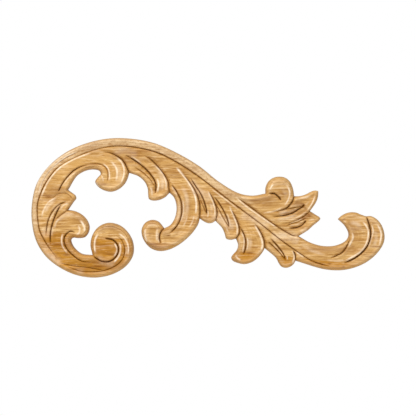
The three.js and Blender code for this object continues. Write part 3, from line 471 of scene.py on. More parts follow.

# Dark patches of the wood, and patches where its grain is quiet. The dark ones are partly streaks in the
# wood and partly painted shade, as the soft dark patches under the spike's cuts; some broad ones darken
# whole places.
STREAKS = tuple(
    Patch(*row)
    for row in (
        (48, 195.2, 8, 0.55, 1), (50, 197, 5.5, 0.7, 0.9), (45, 193, 4, 0.5, 0.6),
        (62, 224, 8, 0.7, 0.4), (62, 226.6, 9, 0.7, 0.5), (58, 244.5, 6.5, 0.8, 0.8),
        (67, 254.6, 3, 1.2, 0.7), (54, 250, 6, 0.8, 0.4), (94, 262, 12, 1.6, 0.8),
        (98, 266, 8, 1.3, 0.8), (84, 268.6, 16, 0.8, 0.4), (99, 249.5, 4, 0.8, 0.5),
        (110, 254, 6, 0.8, 0.5), (104, 184, 4.5, 1.4, 0.6), (136, 155.8, 8, 0.8, 0.7),
        (127, 158.6, 4, 1.2, 0.5), (126, 148.8, 10, 0.8, 0.4), (148, 151.4, 12, 0.8, 0.5),
        (122, 150.6, 9, 0.7, 0.6), (134, 153, 8, 0.7, 0.6), (141, 151, 7, 0.6, 0.6),
        (118, 153.4, 6, 0.6, 0.5), (146, 157, 6, 0.6, 0.4), (131, 162, 5, 0.6, 0.45),
        (137, 164.6, 4, 0.5, 0.4), (153, 157.6, 6, 0.6, 0.45), (160, 160.4, 7, 0.6, 0.45),
        (168, 165.4, 7, 0.6, 0.5), (176, 168.6, 7, 0.6, 0.6), (178, 172.2, 12, 0.7, 0.6),
        (176, 174.9, 13, 0.6, 0.6), (176, 177.4, 12, 0.6, 0.6), (172, 158.4, 11, 1.6, 0.5),
        (163, 154.2, 9, 1, 0.5), (159, 165, 6, 3, 0.3), (188.6, 208, 1.6, 6, 0.45),
        (168.5, 235.2, 2.4, 1, 1), (173, 237.4, 5, 1.8, 0.5), (165, 232, 5, 3, 0.35),
        (150, 233.4, 5, 0.8, 0.6), (151, 243.9, 10, 0.7, 1), (153, 247.4, 13, 2.8, 0.6),
        (262, 203, 15, 1.6, 0.9), (254, 200.4, 12, 1.4, 0.5), (227, 203.6, 6, 0.8, 0.6),
        (238, 206.8, 4, 0.8, 0.5), (284, 193.6, 5.5, 0.7, 0.8), (275, 197.6, 7, 1.6, 0.3),
        (297, 203.4, 5, 2.4, 0.9), (303.4, 206, 2.4, 2.6, 1.4), (308, 214.6, 5, 2.4, 1.3),
        (304, 217.6, 5, 1.4, 0.8), (300.5, 213, 5, 1.6, 0.8), (312, 213.6, 3, 1.6, 1.3),
        (250, 252.6, 3.4, 1, 0.9), (251.6, 246, 1.2, 5, 0.35), (236.6, 262, 4, 1.2, 0.5),
        (354.6, 229.6, 4.4, 1.4, 0.6), (355.6, 234, 4.6, 2.4, 0.7), (361, 226.5, 7.5, 0.6, 0.5),
        (356, 239, 17, 14, 0.2), (122, 139, 50, 7, 0.14), (352, 246.4, 2.4, 1.2, 0.6),
        (351, 252, 4, 0.8, 0.5), (343, 266.6, 1.6, 0.8, 1), (329, 263.5, 2, 0.6, 0.8),
        (334, 267.6, 11, 1, 0.5), (301, 247.4, 2.4, 0.7, 0.5), (375, 246.4, 6, 0.7, 0.5),
        (372, 256.4, 7, 0.7, 0.6), (343.4, 219.2, 2.2, 1, 0.7), (279, 220.6, 9, 1.2, 0.3),
        (150, 153.6, 34, 4, 0.32), (176, 169.6, 26, 6, 0.4), (126, 151, 15, 3.4, 0.38),
        (98, 264.4, 30, 5, 0.3), (262, 203, 24, 4.4, 0.3), (52, 196, 10, 5, 0.32),
        (302, 210, 13, 9, 0.3), (291, 212.6, 2.2, 0.7, 0.8), (295, 211, 2.2, 0.8, 0.9),
        (298.6, 209.1, 2, 0.9, 1), (301.6, 206.9, 1.6, 1.1, 1), (279, 198.2, 1.6, 1, 0.6),
        (93, 164.4, 7, 1.2, 0.5), (305.2, 221.6, 1, 1.3, 0.9), (296, 227.6, 4, 0.8, 0.6),
        (287, 212.4, 6, 0.9, 0.6), (294, 209.4, 5, 0.8, 0.55), (299.6, 205, 4, 1.2, 0.7),
        (301, 219.4, 5, 1, 0.6), (309.6, 211.8, 3, 0.8, 0.5), (352, 238, 16, 18, 0.2),
        (282, 193, 12, 13, 0.16), (189, 208, 3, 8, 0.35), (106, 252, 12, 6, 0.25),
        (62, 246, 10, 5, 0.25), (248, 246, 7, 8, 0.25), (232, 222, 6, 8, 0.2),
        (301, 203.4, 3.4, 1.1, 0.8), (305.6, 208.6, 2.2, 1.2, 0.8), (298, 205.4, 4, 0.8, 0.7),
        (309, 216, 2.4, 1.2, 0.8), (306, 213.6, 3, 0.9, 0.7), (303, 218, 4, 0.9, 0.6),
        (296, 211, 5, 0.7, 0.5), (293, 216, 6, 0.7, 0.5), (273, 195.6, 4.6, 0.6, 0.35),
        (276, 199.8, 4, 0.6, 0.35), (283, 189.4, 4.6, 0.5, 0.4), (94, 149, 14, 9, 0.6),
        (57, 191, 11, 6, 0.8), (80, 216, 9, 8, 0.6), (110, 225, 14, 6, 0.8), (151, 221, 8, 4, 0.8),
        (233, 257, 6, 6, 0.85), (187, 204, 5, 11, 0.6), (267, 201, 8, 6, 0.8), (352, 228, 7, 9, 0.7),
        (350, 249, 14, 6, 0.5), (322, 248, 16, 5, 0.5), (230, 196, 8, 4, 0.5), (178, 171, 5, 7, 0.36),
        (247, 242, 4, 0.5, 0.4), (253, 240, 5, 0.5, 0.45), (254, 247, 5.4, 0.5, 0.45),
        (375, 232, 5, 0.5, 0.45), (376, 238, 4.6, 0.5, 0.5), (359, 226.4, 6, 0.5, 0.4),
        (358, 240, 6, 0.5, 0.4), (366, 254.6, 7, 0.6, 0.45), (64, 220.6, 7, 0.5, 0.4),
        (66, 229.6, 6, 0.5, 0.4), (104, 244.8, 8, 0.6, 0.45), (102, 257, 6, 0.6, 0.45),
    )
)

CALM = tuple(
    Patch(*row)
    for row in (
        (60, 176, 20, 20, 0.6), (80, 160, 26, 10, 0.55), (106, 160, 22, 10, 0.3),
        (112, 180, 14, 12, 0.25), (184, 200, 12, 22, 0.3), (250, 243, 10, 12, 0.3),
        (352, 232, 14, 16, 0.3), (150, 234, 9, 10, 0.3), (164, 180, 9, 14, 0.3),
        (280, 190, 12, 12, 0.2),
    )
)

# Places with the level of the carving there, as a share of its thickness, and the width of the
# rounded edge, in squares.
SPOTS = (
    (105, 249, 0.98, 5), (128, 252, 0.85, 5), (108, 228, 0.83, 5.5), (60, 262, 0.69, 5),
    (85, 270, 0.71, 5.5), (34, 212, 0.74, 4.2), (80, 226, 0.86, 7), (74, 198, 0.55, 3.6),
    (58, 178, 0.77, 4.4), (50, 215, 0.78, 4.4), (112, 141, 0.77, 4.4), (104, 180, 0.84, 6),
    (140, 168, 0.69, 4), (160, 196, 0.68, 5), (170, 150, 0.76, 4.4), (188, 206, 0.82, 5),
    (152, 235, 0.94, 9.5), (172, 240, 0.78, 6), (208, 216, 0.66, 4.4), (229, 234, 0.66, 4.4),
    (215, 182, 0.78, 4.6), (250, 240, 0.81, 5), (236, 258, 0.73, 4.6), (250, 203, 0.76, 5),
    (279, 188, 0.96, 8.5), (285, 262, 0.65, 4.4), (316, 194, 0.52, 4), (318, 218, 0.53, 4),
    (300, 212, 0.68, 4), (272, 228, 0.82, 4.6), (310, 252, 0.81, 5), (345, 252, 0.82, 5.5),
    (342, 219, 0.58, 4.5), (357, 230, 0.8, 5), (379, 234, 0.74, 5.5), (360, 262, 0.77, 5.5),
)


class Rows(Enum):
    """How far from a line its extra rows of points stand, in squares."""

    OUTLINE = (0.22, 0.6, 1.2, 2.0, 3.0)
    CUT = (0.35, 0.8, 1.5)


def along(path: tuple, step: float, pieces: int = 24) -> np.ndarray:
    """Points at even steps along the smooth curve through a path.

    Args:
        path: the points that the curve goes through.
        step: wanted distance between the points returned.
        pieces: how many straight pieces stand for the curve from one point of the path to the next.

    Returns:
        An array of points, the first and last of the path among them.
    """
    knots = np.asarray(path, float)
    first = 2 * knots[0] - knots[1]
    last = 2 * knots[-1] - knots[-2]
    knots = np.vstack([first, knots, last])
    fine = []
    share = np.linspace(0, 1, pieces, endpoint=False)[:, None]
    for a, b, c, d in zip(knots, knots[1:], knots[2:], knots[3:]):
        t0, t1, t2 = (math.sqrt(max(np.hypot(*(q - p)), TINY)) for p, q in ((a, b), (b, c), (c, d)))
        m0 = ((b - a) / t0 - (c - a) / (t0 + t1) + (c - b) / t1) * t1
        m1 = ((c - b) / t1 - (d - b) / (t1 + t2) + (d - c) / t2) * t1
        bend = -3 * b + 3 * c - 2 * m0 - m1
        twist = 2 * b - 2 * c + m0 + m1
        fine.append(b + m0 * share + bend * share**2 + twist * share**3)
    fine.append(knots[-2:-1])
    fine = np.vstack(fine)
    run = np.r_[0, np.cumsum(np.hypot(*np.diff(fine, axis=0).T))]
    count = max(2, round(run[-1] / step)) + 1
    even = np.linspace(0, run[-1], count)
    return np.c_[np.interp(even, run, fine[:, 0]), np.interp(even, run, fine[:, 1])]


def beside(line: np.ndarray, offset: float, closed: bool) -> np.ndarray:
    """Points beside a line, to its right on the sheet, or to its left for an offset below zero.

    Args:
        line: the points of the line.
        offset: distance from it.
        closed: whether its end joins its start.

    Returns:
        One point for each point of the line.
    """
    if closed:
        way = np.roll(line, -1, axis=0) - np.roll(line, 1, axis=0)
    else:
        way = np.gradient(line, axis=0)
    way = way / np.maximum(np.hypot(way[:, 0], way[:, 1]), TINY)[:, None]
    return line + offset * np.c_[-way[:, 1], way[:, 0]]


def hump(x: np.ndarray) -> np.ndarray:
    """A smooth hump of height 1 that ends at -1 and 1."""
    return np.cos(np.pi / 2 * np.clip(x, -1, 1)) ** 2


def clockwise(points: np.ndarray, faces: list) -> np.ndarray:
    """Triangles that all go round clockwise, where x is to the right and y is up.

    Args:
        points: flat points.
        faces: triangles between them, either way round.

    Returns:
        The same triangles, as rows of three points.
    """
    faces = np.array([tuple(face) for face in faces])
    corner = points[faces]
    a, b = corner[:, 1] - corner[:, 0], corner[:, 2] - corner[:, 0]
    turned = a[:, 0] * b[:, 1] - a[:, 1] * b[:, 0] > 0
    faces[turned] = faces[turned][:, ::-1]
    return faces


@dataclass
class Nearest:
    """The nearest place of a line to each of a set of points.

    Args:
        gap: distance of each point from the line.
        run: how far along the line that place is.
        right: whether the point is on the line's right.
        total: length of the line.
    """

    gap: np.ndarray
    run: np.ndarray
    right: np.ndarray
    total: float

    @classmethod
    def of(cls, points: np.ndarray, line: np.ndarray, closed: bool = False, lot: int = 2000) -> Nearest:
        """Finds the nearest place of a line to each point.

        Args:
            points: the points, on the sheet.
            line: the points of the line.
            closed: whether its end joins its start.
            lot: how many points are worked on at a time.

        Returns:
            The nearest places.
        """
        if closed:
            line = np.vstack([line, line[:1]])
        start, way = line[:-1], np.diff(line, axis=0)
        long = np.hypot(way[:, 0], way[:, 1])
        runs = np.r_[0, np.cumsum(long)]
        gap = np.empty(len(points))
        run = np.empty(len(points))
        right = np.empty(len(points), bool)
        for first in range(0, len(points), lot):
            part = slice(first, first + lot)
            p = points[part]
            dx = p[:, 0:1] - start[:, 0]
            dy = p[:, 1:2] - start[:, 1]
            t = np.clip((dx * way[:, 0] + dy * way[:, 1]) / long**2, 0, 1)
            square = (dx - t * way[:, 0]) ** 2 + (dy - t * way[:, 1]) ** 2
            best = square.argmin(axis=1)
            row = np.arange(len(p))
            gap[part] = np.sqrt(square[row, best])
            run[part] = runs[best] + t[row, best] * long[best]
            right[part] = way[best, 0] * dy[row, best] - way[best, 1] * dx[row, best] >= 0
        return cls(gap, run, right, runs[-1])


@dataclass
class Relief:
    """The height of the carving over its flat back, for any point of the sheet.

    Heights are in millimetres, and distances along the front are in squares of the sheet.

    Args:
        thickness: height of the highest place.
        edge_height: height of the upright edge, where the rounding begins.
        thinnest: least height of the front.
        groove_depth: depth of a full cut.
        lip_height: height of the rolled margin beside a cut.
        edge_lip: height of the rolled margin along the outline.
        edge_share: width of the rounded edge, as a share of the one that SPOTS give.
        edge_beyond: how far that margin runs on past the rounding, as a share of the rounding.
        knife_width: half width of the sharp bottom of a full cut.
        knife_share: share of a cut's depth that its sharp bottom has.
        knife_least: how dark the shade painted in the shallowest cut's bottom is, and how wide that bottom
            is, as shares of a full one.
        knife_rise: how much sooner that painted shade is full, from the ends of a cut, than its depth.
        least_roll: least run of a lip beyond its wall.
        lip_rise: how much sooner, from the outline in, the lips are full than the rounded edge.
        wall_bend: power that makes the walls of a cut hollow.
        fade_bend: power that makes the ends of a cut blunt.
        band_gap: the sanded rim's least distance from its cut.
        band_reach: the sanded rim's greatest distance from its cut.
        band_right: x where the rim's sanded look ends, and the run over which it goes out.
        band_bottom: y where it ends, and the run over which it goes out.
        band_calm: how quiet the grain of the sanded rim is.
        lane_reach: how far from a cut the gouge marks follow it.
        blend: width over which SPOTS are blended.
        line_step: step along the lines.
    """

    thickness: float = 15.0
    edge_height: float = 5.0
    thinnest: float = 2.4
    groove_depth: float = 2.5
    lip_height: float = 1.0
    edge_lip: float = 0.6
    edge_share: float = 0.62
    edge_beyond: float = 1.6
    knife_width: float = 0.66
    knife_share: float = 0.22
    knife_least: tuple[float, float] = (0.35, 0.4)
    knife_rise: float = 4.0
    least_roll: float = 0.5
    lip_rise: float = 1.3
    wall_bend: float = 1.6
    fade_bend: float = 0.8
    band_gap: float = 0.8
    band_reach: float = 13.0
    band_right: tuple[float, float] = (265.0, 45.0)
    band_bottom: tuple[float, float] = (252.0, 30.0)
    band_calm: float = 0.45
    lane_reach: float = 9.0
    blend: float = 16.0
    line_step: float = 1.0

    def __post_init__(self) -> None:
        """Draws the outline, the cuts and the crests once."""
        self.outline = self.outline_at(self.line_step)
        self.cuts = [(cut, along(cut.path, self.line_step)) for cut in CUTS]
        self.crests = [(crest, along(crest.path, self.line_step)) for crest in CRESTS]

    @staticmethod
    def outline_at(step: float) -> np.ndarray:
        """The closed outline in steps of a given length, its corners kept."""
        return np.vstack([along(run, step)[:-1] for run in OUTLINE])

    def ground(self, points: np.ndarray) -> tuple[np.ndarray, np.ndarray]:
        """Level of the surface between the cuts and width of the rounded edge, blended from SPOTS.

        Args:
            points: the points, on the sheet.

        Returns:
            The level and the width, for each point.
        """
        total = np.full(len(points), TINY)
        level = np.zeros(len(points))
        rounding = np.zeros(len(points))
        for x, y, share, width in SPOTS:
            square = (points[:, 0] - x) ** 2 + (points[:, 1] - y) ** 2
            weight = np.exp(-square / (2 * self.blend**2)) + TINY
            total += weight
            level += weight * share * self.thickness
            rounding += weight * width
        return level / total, rounding / total * self.edge_share

    def fade(self, near: Nearest, fade: tuple[float, float]) -> np.ndarray:
        """How much of a cut is there, by the run from its two ends.

        Args:
            near: where the points stand beside the cut.
            fade: run over which it comes in, and over which it goes out.

        Returns:
            The share for each point, from 0 to 1.
        """
        share = np.ones(len(near.run))
        for run, length in zip((near.run, near.total - near.run), fade):
            if length:
                share *= np.clip(run / length, 0, 1) ** self.fade_bend
        return share

    def sanded(self, points: np.ndarray, near: Nearest) -> np.ndarray:
        """How sanded each point is, beside one cut of the rim, from 0 to 1; the finish paints this sanded
        rim paler, partly as painted sheen.

        Args:
            points: the points, on the sheet.
            near: where they stand beside the cut.

        Returns:
            The share for each point.
        """
        outside = ~near.right & (near.gap < self.band_reach) & (near.gap > self.band_gap)
        for axis, (end, run) in enumerate((self.band_right, self.band_bottom)):
            outside = outside * np.clip((end - points[:, axis]) / run, 0, 1)
        return outside

    def heights(self, points: np.ndarray) -> tuple[np.ndarray, dict[str, np.ndarray]]:
        """Height of the carving, and what its finish needs to know of it.

        Args:
            points: the points, on the sheet.

        Returns:
            The height for each point, and by name: how much painted shade it has at the bottom of a cut,
                how much painted highlight it has, how much of the dark patches (the wood's own dark
                markings together with painted shade) and how much calm grain it has and how much it belongs
                to the sanded rim (band), as shares, and how far it is from the nearest line (lane) and from
                the outline (edge).
        """
        level, rounding = self.ground(points)
        gap = Nearest.of(points, self.outline, closed=True).gap
        rise = np.minimum(1, gap / rounding)
        crown = self.edge_height + (level - self.edge_height) * np.sqrt(1 - (1 - rise) ** 2)
        beyond = np.clip(1 - (gap - rounding) / (rounding * self.edge_beyond), 0, 1) ** 2
        lips = (self.edge_lip * np.where(gap < rounding, rise, beyond)) ** 3
        groove, cut_shade, painted_highlight, fine, band = np.zeros((5, len(points)))
        lane = gap.copy()
        dark_least, wide_least = self.knife_least
        for cut, line in self.cuts:
            reach = max(cut.left.reach, cut.right.reach, self.lane_reach, self.band_reach)
            here, near = self.near(points, line, reach)
            lane[here] = np.minimum(lane[here], near.gap)
            if cut.rim:
                band[here] = np.maximum(band[here], self.sanded(points[here], near))
            share = self.fade(near, cut.fade)
            bite = cut.depth * share
            wall, lip, reach = np.where(near.right[:, None], astuple(cut.right), astuple(cut.left)).T
            down = np.clip(1 - near.gap / wall, 0, 1) ** self.wall_bend
            width = self.knife_width * (wide_least + (1 - wide_least) * bite)
            core = np.clip(1 - near.gap / width, 0, 1)
            form = self.knife_share * core + (1 - self.knife_share) * down
            groove[here] = np.maximum(groove[here], bite * self.groove_depth * form)
            # painted shade at the bottom of the cut, darker for a deeper cut and where the cut is full
            dark = (dark_least + (1 - dark_least) * bite) * np.minimum(1, self.knife_rise * share)
            cut_shade[here] = np.maximum(cut_shade[here], dark * core)
            beyond = np.clip(1 - (near.gap - wall) / np.maximum(reach - wall, self.least_roll), 0, 1) ** 2
            roll = np.where(near.gap < wall, near.gap / wall, beyond)
            lips[here] += (lip * self.lip_height * share * roll) ** 3
        for crest, line in self.crests:
            reach = crest.drawn_reach()
            here, near = self.near(points, line, reach)
            ends = np.minimum(near.run, near.total - near.run)
            share = np.clip(ends / crest.fade, 0, 1) * hump(near.gap / reach)
            # painted highlight along the crest; a flat crest gives a painted sheen
            painted_highlight[here] = np.maximum(painted_highlight[here], crest.painted_highlight * share)
            fine[here] = np.maximum(fine[here], crest.height * self.lip_height * share)
        height = crown + np.cbrt(lips) * np.minimum(1, rise * self.lip_rise) + fine * rise - groove
        marks = {"cut": cut_shade, "painted_highlight": painted_highlight, "lane": lane, "edge": gap, "band": band}
        # dark patches: streaks of the wood together with painted shade
        marks["figure_and_shade"] = self.strongest(points, tuple(streak.drawn() for streak in STREAKS))
        marks["calm"] = np.maximum(self.band_calm * band, self.strongest(points, CALM))
        return np.maximum(height, self.thinnest), marks

    @staticmethod
    def strongest(points: np.ndarray, patches: tuple[Patch, ...]) -> np.ndarray:
        """The strongest of a set of soft patches at each point.

        Args:
            points: the points, on the sheet.
            patches: the patches.

        Returns:
            The strength for each point, and 0 far from all patches.
        """
        share = np.zeros(len(points))
        for patch in patches:
            across = ((points[:, 0] - patch.x) / patch.length) ** 2
            down = ((points[:, 1] - patch.y) / patch.height) ** 2
            share = np.maximum(share, patch.strength * np.exp(-across - down))
        return share

    @staticmethod
    def near(points: np.ndarray, line: np.ndarray, reach: float) -> tuple[np.ndarray, Nearest]:
        """The points within reach of a line's box, and where they stand beside the line.

        Args:
            points: the points, on the sheet.
            line: the points of the line.
            reach: how far round its box is looked.

        Returns:
            The numbers of the points found, and their nearest places on the line.
        """
        low, high = line.min(axis=0) - reach, line.max(axis=0) + reach
        here = np.flatnonzero(((points > low) & (points < high)).all(axis=1))
        return here, Nearest.of(points[here], line)


class Thinner:
    """Keeps points that aren't too near to one another, the first ones first."""

    def __init__(self, gap: float) -> None:
        """Starts with no points.

        Args:
            gap: the least distance between two points.
        """
        self.gap = gap
        self.points: list[tuple[float, float]] = []
        self.cells: dict[tuple[int, int], list[tuple[float, float]]] = {}

    def add(self, points: np.ndarray, test: bool = True) -> None:
        """Adds points, leaving out those that stand too near to one that is there.

        Args:
            points: the points to add.
            test: False to add them all.
        """
        gap, square = self.gap, self.gap**2
        for x, y in points:
            i, j = int(x // gap), int(y // gap)
            if test and any(
                (x - a) ** 2 + (y - b) ** 2 < square
                for u in (i - 1, i, i + 1)
                for v in (j - 1, j, j + 1)
                for a, b in self.cells.get((u, v), ())
            ):
                continue
            self.points.append((x, y))
            self.cells.setdefault((i, j), []).append((x, y))


@dataclass
class CarvedScroll:
    """The whole carving as one closed mesh: carved front, upright edge and flat back.

    Args:
        length: length of the carving, in metres.
        height: its height as it hangs, in metres.
        relief: the form of its front.
        step: distance between the points of the front, in squares.
        row_share: distance between their rows, as a share of the step.
        cut_end: least distance of a cut's points from the outline, as a share of the step.
        least_gap: least distance of any further point from the others, as a share of the step.
        edge_gap: least distance of any further point from the outline, in squares.
        jog: how far the even grid is jogged, in squares, and how fast the jog changes.
        edge_rows: rows of faces in the upright edge.
        inset: share of the CAD box that the carving fills.
        sharp_angle: bends sharper than this show as edges, in degrees.
        near_rounds: rounds of levelling that show how far a point stands above its close surroundings.
        far_rounds: rounds of levelling for the wider surroundings.
        plain_marks: marks of the edge and the back that aren't 0, by name.
    """

    length: float = 300 * MM
    height: float = 118.6 * MM
    relief: Relief = field(default_factory=Relief)
    step: float = 0.72
    row_share: float = 0.866
    cut_end: float = 0.3
    least_gap: float = 0.45
    edge_gap: float = 0.2
    jog: tuple[float, float] = (0.04, 5.3)
    edge_rows: int = 3
    inset: float = 0.9997
    sharp_angle: float = 62.0
    near_rounds: int = 6
    far_rounds: int = 70
    plain_marks: dict[str, float] = field(default_factory=lambda: {"edge": 20.0, "lane": 20.0})

    @staticmethod
    def inside(points: np.ndarray, line: np.ndarray) -> np.ndarray:
        """Whether each point is within the closed line.

        Args:
            points: the points, on the sheet.
            line: the points of the closed line.

        Returns:
            True for each point within.
        """
        odd = np.zeros(len(points), bool)
        for a, b in zip(line, np.roll(line, -1, axis=0)):
            if a[1] == b[1]:
                continue
            span = (a[1] > points[:, 1]) != (b[1] > points[:, 1])
            cross = (b[0] - a[0]) * (points[:, 1] - a[1]) / (b[1] - a[1]) + a[0]
            odd ^= span & (points[:, 0] < cross)
        return odd

    def sheet_points(self, outline: np.ndarray) -> tuple[np.ndarray, list[tuple[int, int]]]:
        """All points of the carved front, on the sheet.

        Args:
            outline: the closed outline, whose points come first in what is returned.

        Returns:
            The points, and the pairs of them that must be joined along the cuts.
        """
        fixed = [outline]
        first = len(outline)
        pairs = []
        extra = [beside(outline, gap, closed=True) for gap in Rows.OUTLINE.value]
        for cut, _ in self.relief.cuts:
            line = along(cut.path, self.step)
            extra += [beside(line, side * gap, closed=False) for gap in Rows.CUT.value for side in (-1, 1)]
            line = line[self.inside(line, outline)]
            line = line[Nearest.of(line, outline, closed=True).gap > self.cut_end * self.step]
            pairs += [(i, i + 1) for i in range(first, first + len(line) - 1)]
            first += len(line)
            fixed.append(line)
        keep = Thinner(self.least_gap * self.step)
        keep.add(np.vstack(fixed), test=False)
        low, high = outline.min(axis=0), outline.max(axis=0)
        rows = np.arange(low[1], high[1], self.step * self.row_share)
        columns = np.arange(low[0], high[0], self.step)
        grid = np.array([(x + self.step / 2 * (i % 2), y) for i, y in enumerate(rows) for x in columns])
        jog, wave = self.jog
        extra = np.vstack([*extra, grid + jog * np.sin(grid[:, ::-1] * wave)])
        extra = extra[self.inside(extra, outline)]
        keep.add(extra[Nearest.of(extra, outline, closed=True).gap > self.edge_gap])
        return np.array(keep.points), pairs

    def build(self) -> bpy.types.Object:
        """Makes the mesh object of the carving, with what its finish needs as attributes.

        Returns:
            The new object, linked to the scene.
        """
        outline = self.relief.outline_at(self.step)
        points, pairs = self.sheet_points(outline)
        ring = [list(range(len(outline)))]
        seeds = [Vector(p) for p in points]
        verts, _, faces, *_ = delaunay_2d_cdt(seeds, pairs, ring, INSIDE, SHEET_TOLERANCE)
        sheet = np.array([tuple(v) for v in verts])
        faces = clockwise(sheet, faces)
        heights, marks = self.relief.heights(sheet)
        heights *= self.relief.thickness * self.inset / heights.max()
        # how far each point stands above its near and its wider surroundings; the finish paints shade in
        # the hollows and highlight on the raised places from these
        marks["crest"] = self.rise(faces, heights, self.near_rounds)
        marks["swell"] = self.rise(faces, heights, self.far_rounds)
        return self.mesh(sheet, faces, heights, marks)

    @staticmethod
    def sides(faces: np.ndarray) -> np.ndarray:
        """The three sides of each triangle, as pairs of points."""
        return np.vstack([faces[:, [0, 1]], faces[:, [1, 2]], faces[:, [2, 0]]])

    def rim(self, faces: np.ndarray) -> np.ndarray:
        """The points of the front's edge in order, with the front on their left as seen on the sheet.

        Args:
            faces: the triangles of the front.

        Returns:
            The numbers of the points.
        """
        held = {(a, b) for a, b in self.sides(faces).tolist()}
        after = {a: b for a, b in held if (b, a) not in held}
        order = [next(iter(after))]
        while after[order[-1]] != order[0]:
            order.append(after[order[-1]])
        return np.array(order)

    def rise(self, faces: np.ndarray, heights: np.ndarray, rounds: int) -> np.ndarray:
        """How far each point stands above its surroundings, in millimetres.

        Args:
            faces: the triangles.
            heights: height of each point.
            rounds: how many times the surroundings are levelled; more rounds reach further.

        Returns:
            The height over the levelled surroundings, for each point.
        """
        sides = self.sides(faces)
        soft = heights.copy()
        number = np.bincount(sides.ravel(), minlength=len(heights))
        for _ in range(rounds):
            total = np.bincount(sides[:, 0], soft[sides[:, 1]], len(heights))
            total += np.bincount(sides[:, 1], soft[sides[:, 0]], len(heights))
            soft = total / np.maximum(number, 1)
        return heights - soft

    def mesh(
        self, sheet: np.ndarray, faces: np.ndarray, heights: np.ndarray, marks: dict[str, np.ndarray]
    ) -> bpy.types.Object:
        """Closes the carved front with its upright edge and back, and makes the object.

        Args:
            sheet: the points of the front, on the sheet.
            faces: the triangles of the front.
            heights: height of each point, in millimetres.
            marks: what the finish needs to know of each point of the front, by name.

        Returns:
            The new object, linked to the scene.
        """
        low, high = sheet.min(axis=0), sheet.max(axis=0)
        scale = np.array([self.length, -self.height]) / (high - low) * self.inset
        flat = (sheet - (low + high) / 2) * scale
        rim = self.rim(faces)
        count = len(rim)
        coords = [np.c_[flat[:, 0], -heights * MM, flat[:, 1]]]
        rings = [rim]
        walls = []
        for row in range(1, self.edge_rows + 1):
            level = heights[rim] * (1 - row / self.edge_rows)
            coords.append(np.c_[flat[rim, 0], -level * MM, flat[rim, 1]])
            near, far = rings[-1], len(sheet) + (row - 1) * count + np.arange(count)
            ahead, behind = np.roll(near, -1), np.roll(far, -1)
            walls += [np.c_[ahead, near, far], np.c_[ahead, far, behind]]
            rings.append(far)
        ring = [list(range(count))]
        _, _, back, *_ = delaunay_2d_cdt([Vector(p) for p in flat[rim]], [], ring, INSIDE, BACK_TOLERANCE)
        back = clockwise(flat[rim], back)
        triangles = np.vstack([faces, *walls, rings[-1][back]])
        positions = np.vstack(coords)

        data = bpy.data.meshes.new(PIECE)
        data.from_pydata(positions.tolist(), [], triangles.tolist())
        for name, values in marks.items():
            full = np.full(len(positions), self.plain_marks.get(name, 0.0))
            full[: len(sheet)] = values
            data.attributes.new(name, "FLOAT", "POINT").data.foreach_set("value", full)
        data.shade_smooth()
        data.set_sharp_from_angle(angle=math.radians(self.sharp_angle))
        piece = bpy.data.objects.new(PIECE, data)
        bpy.context.collection.objects.link(piece)
        return piece


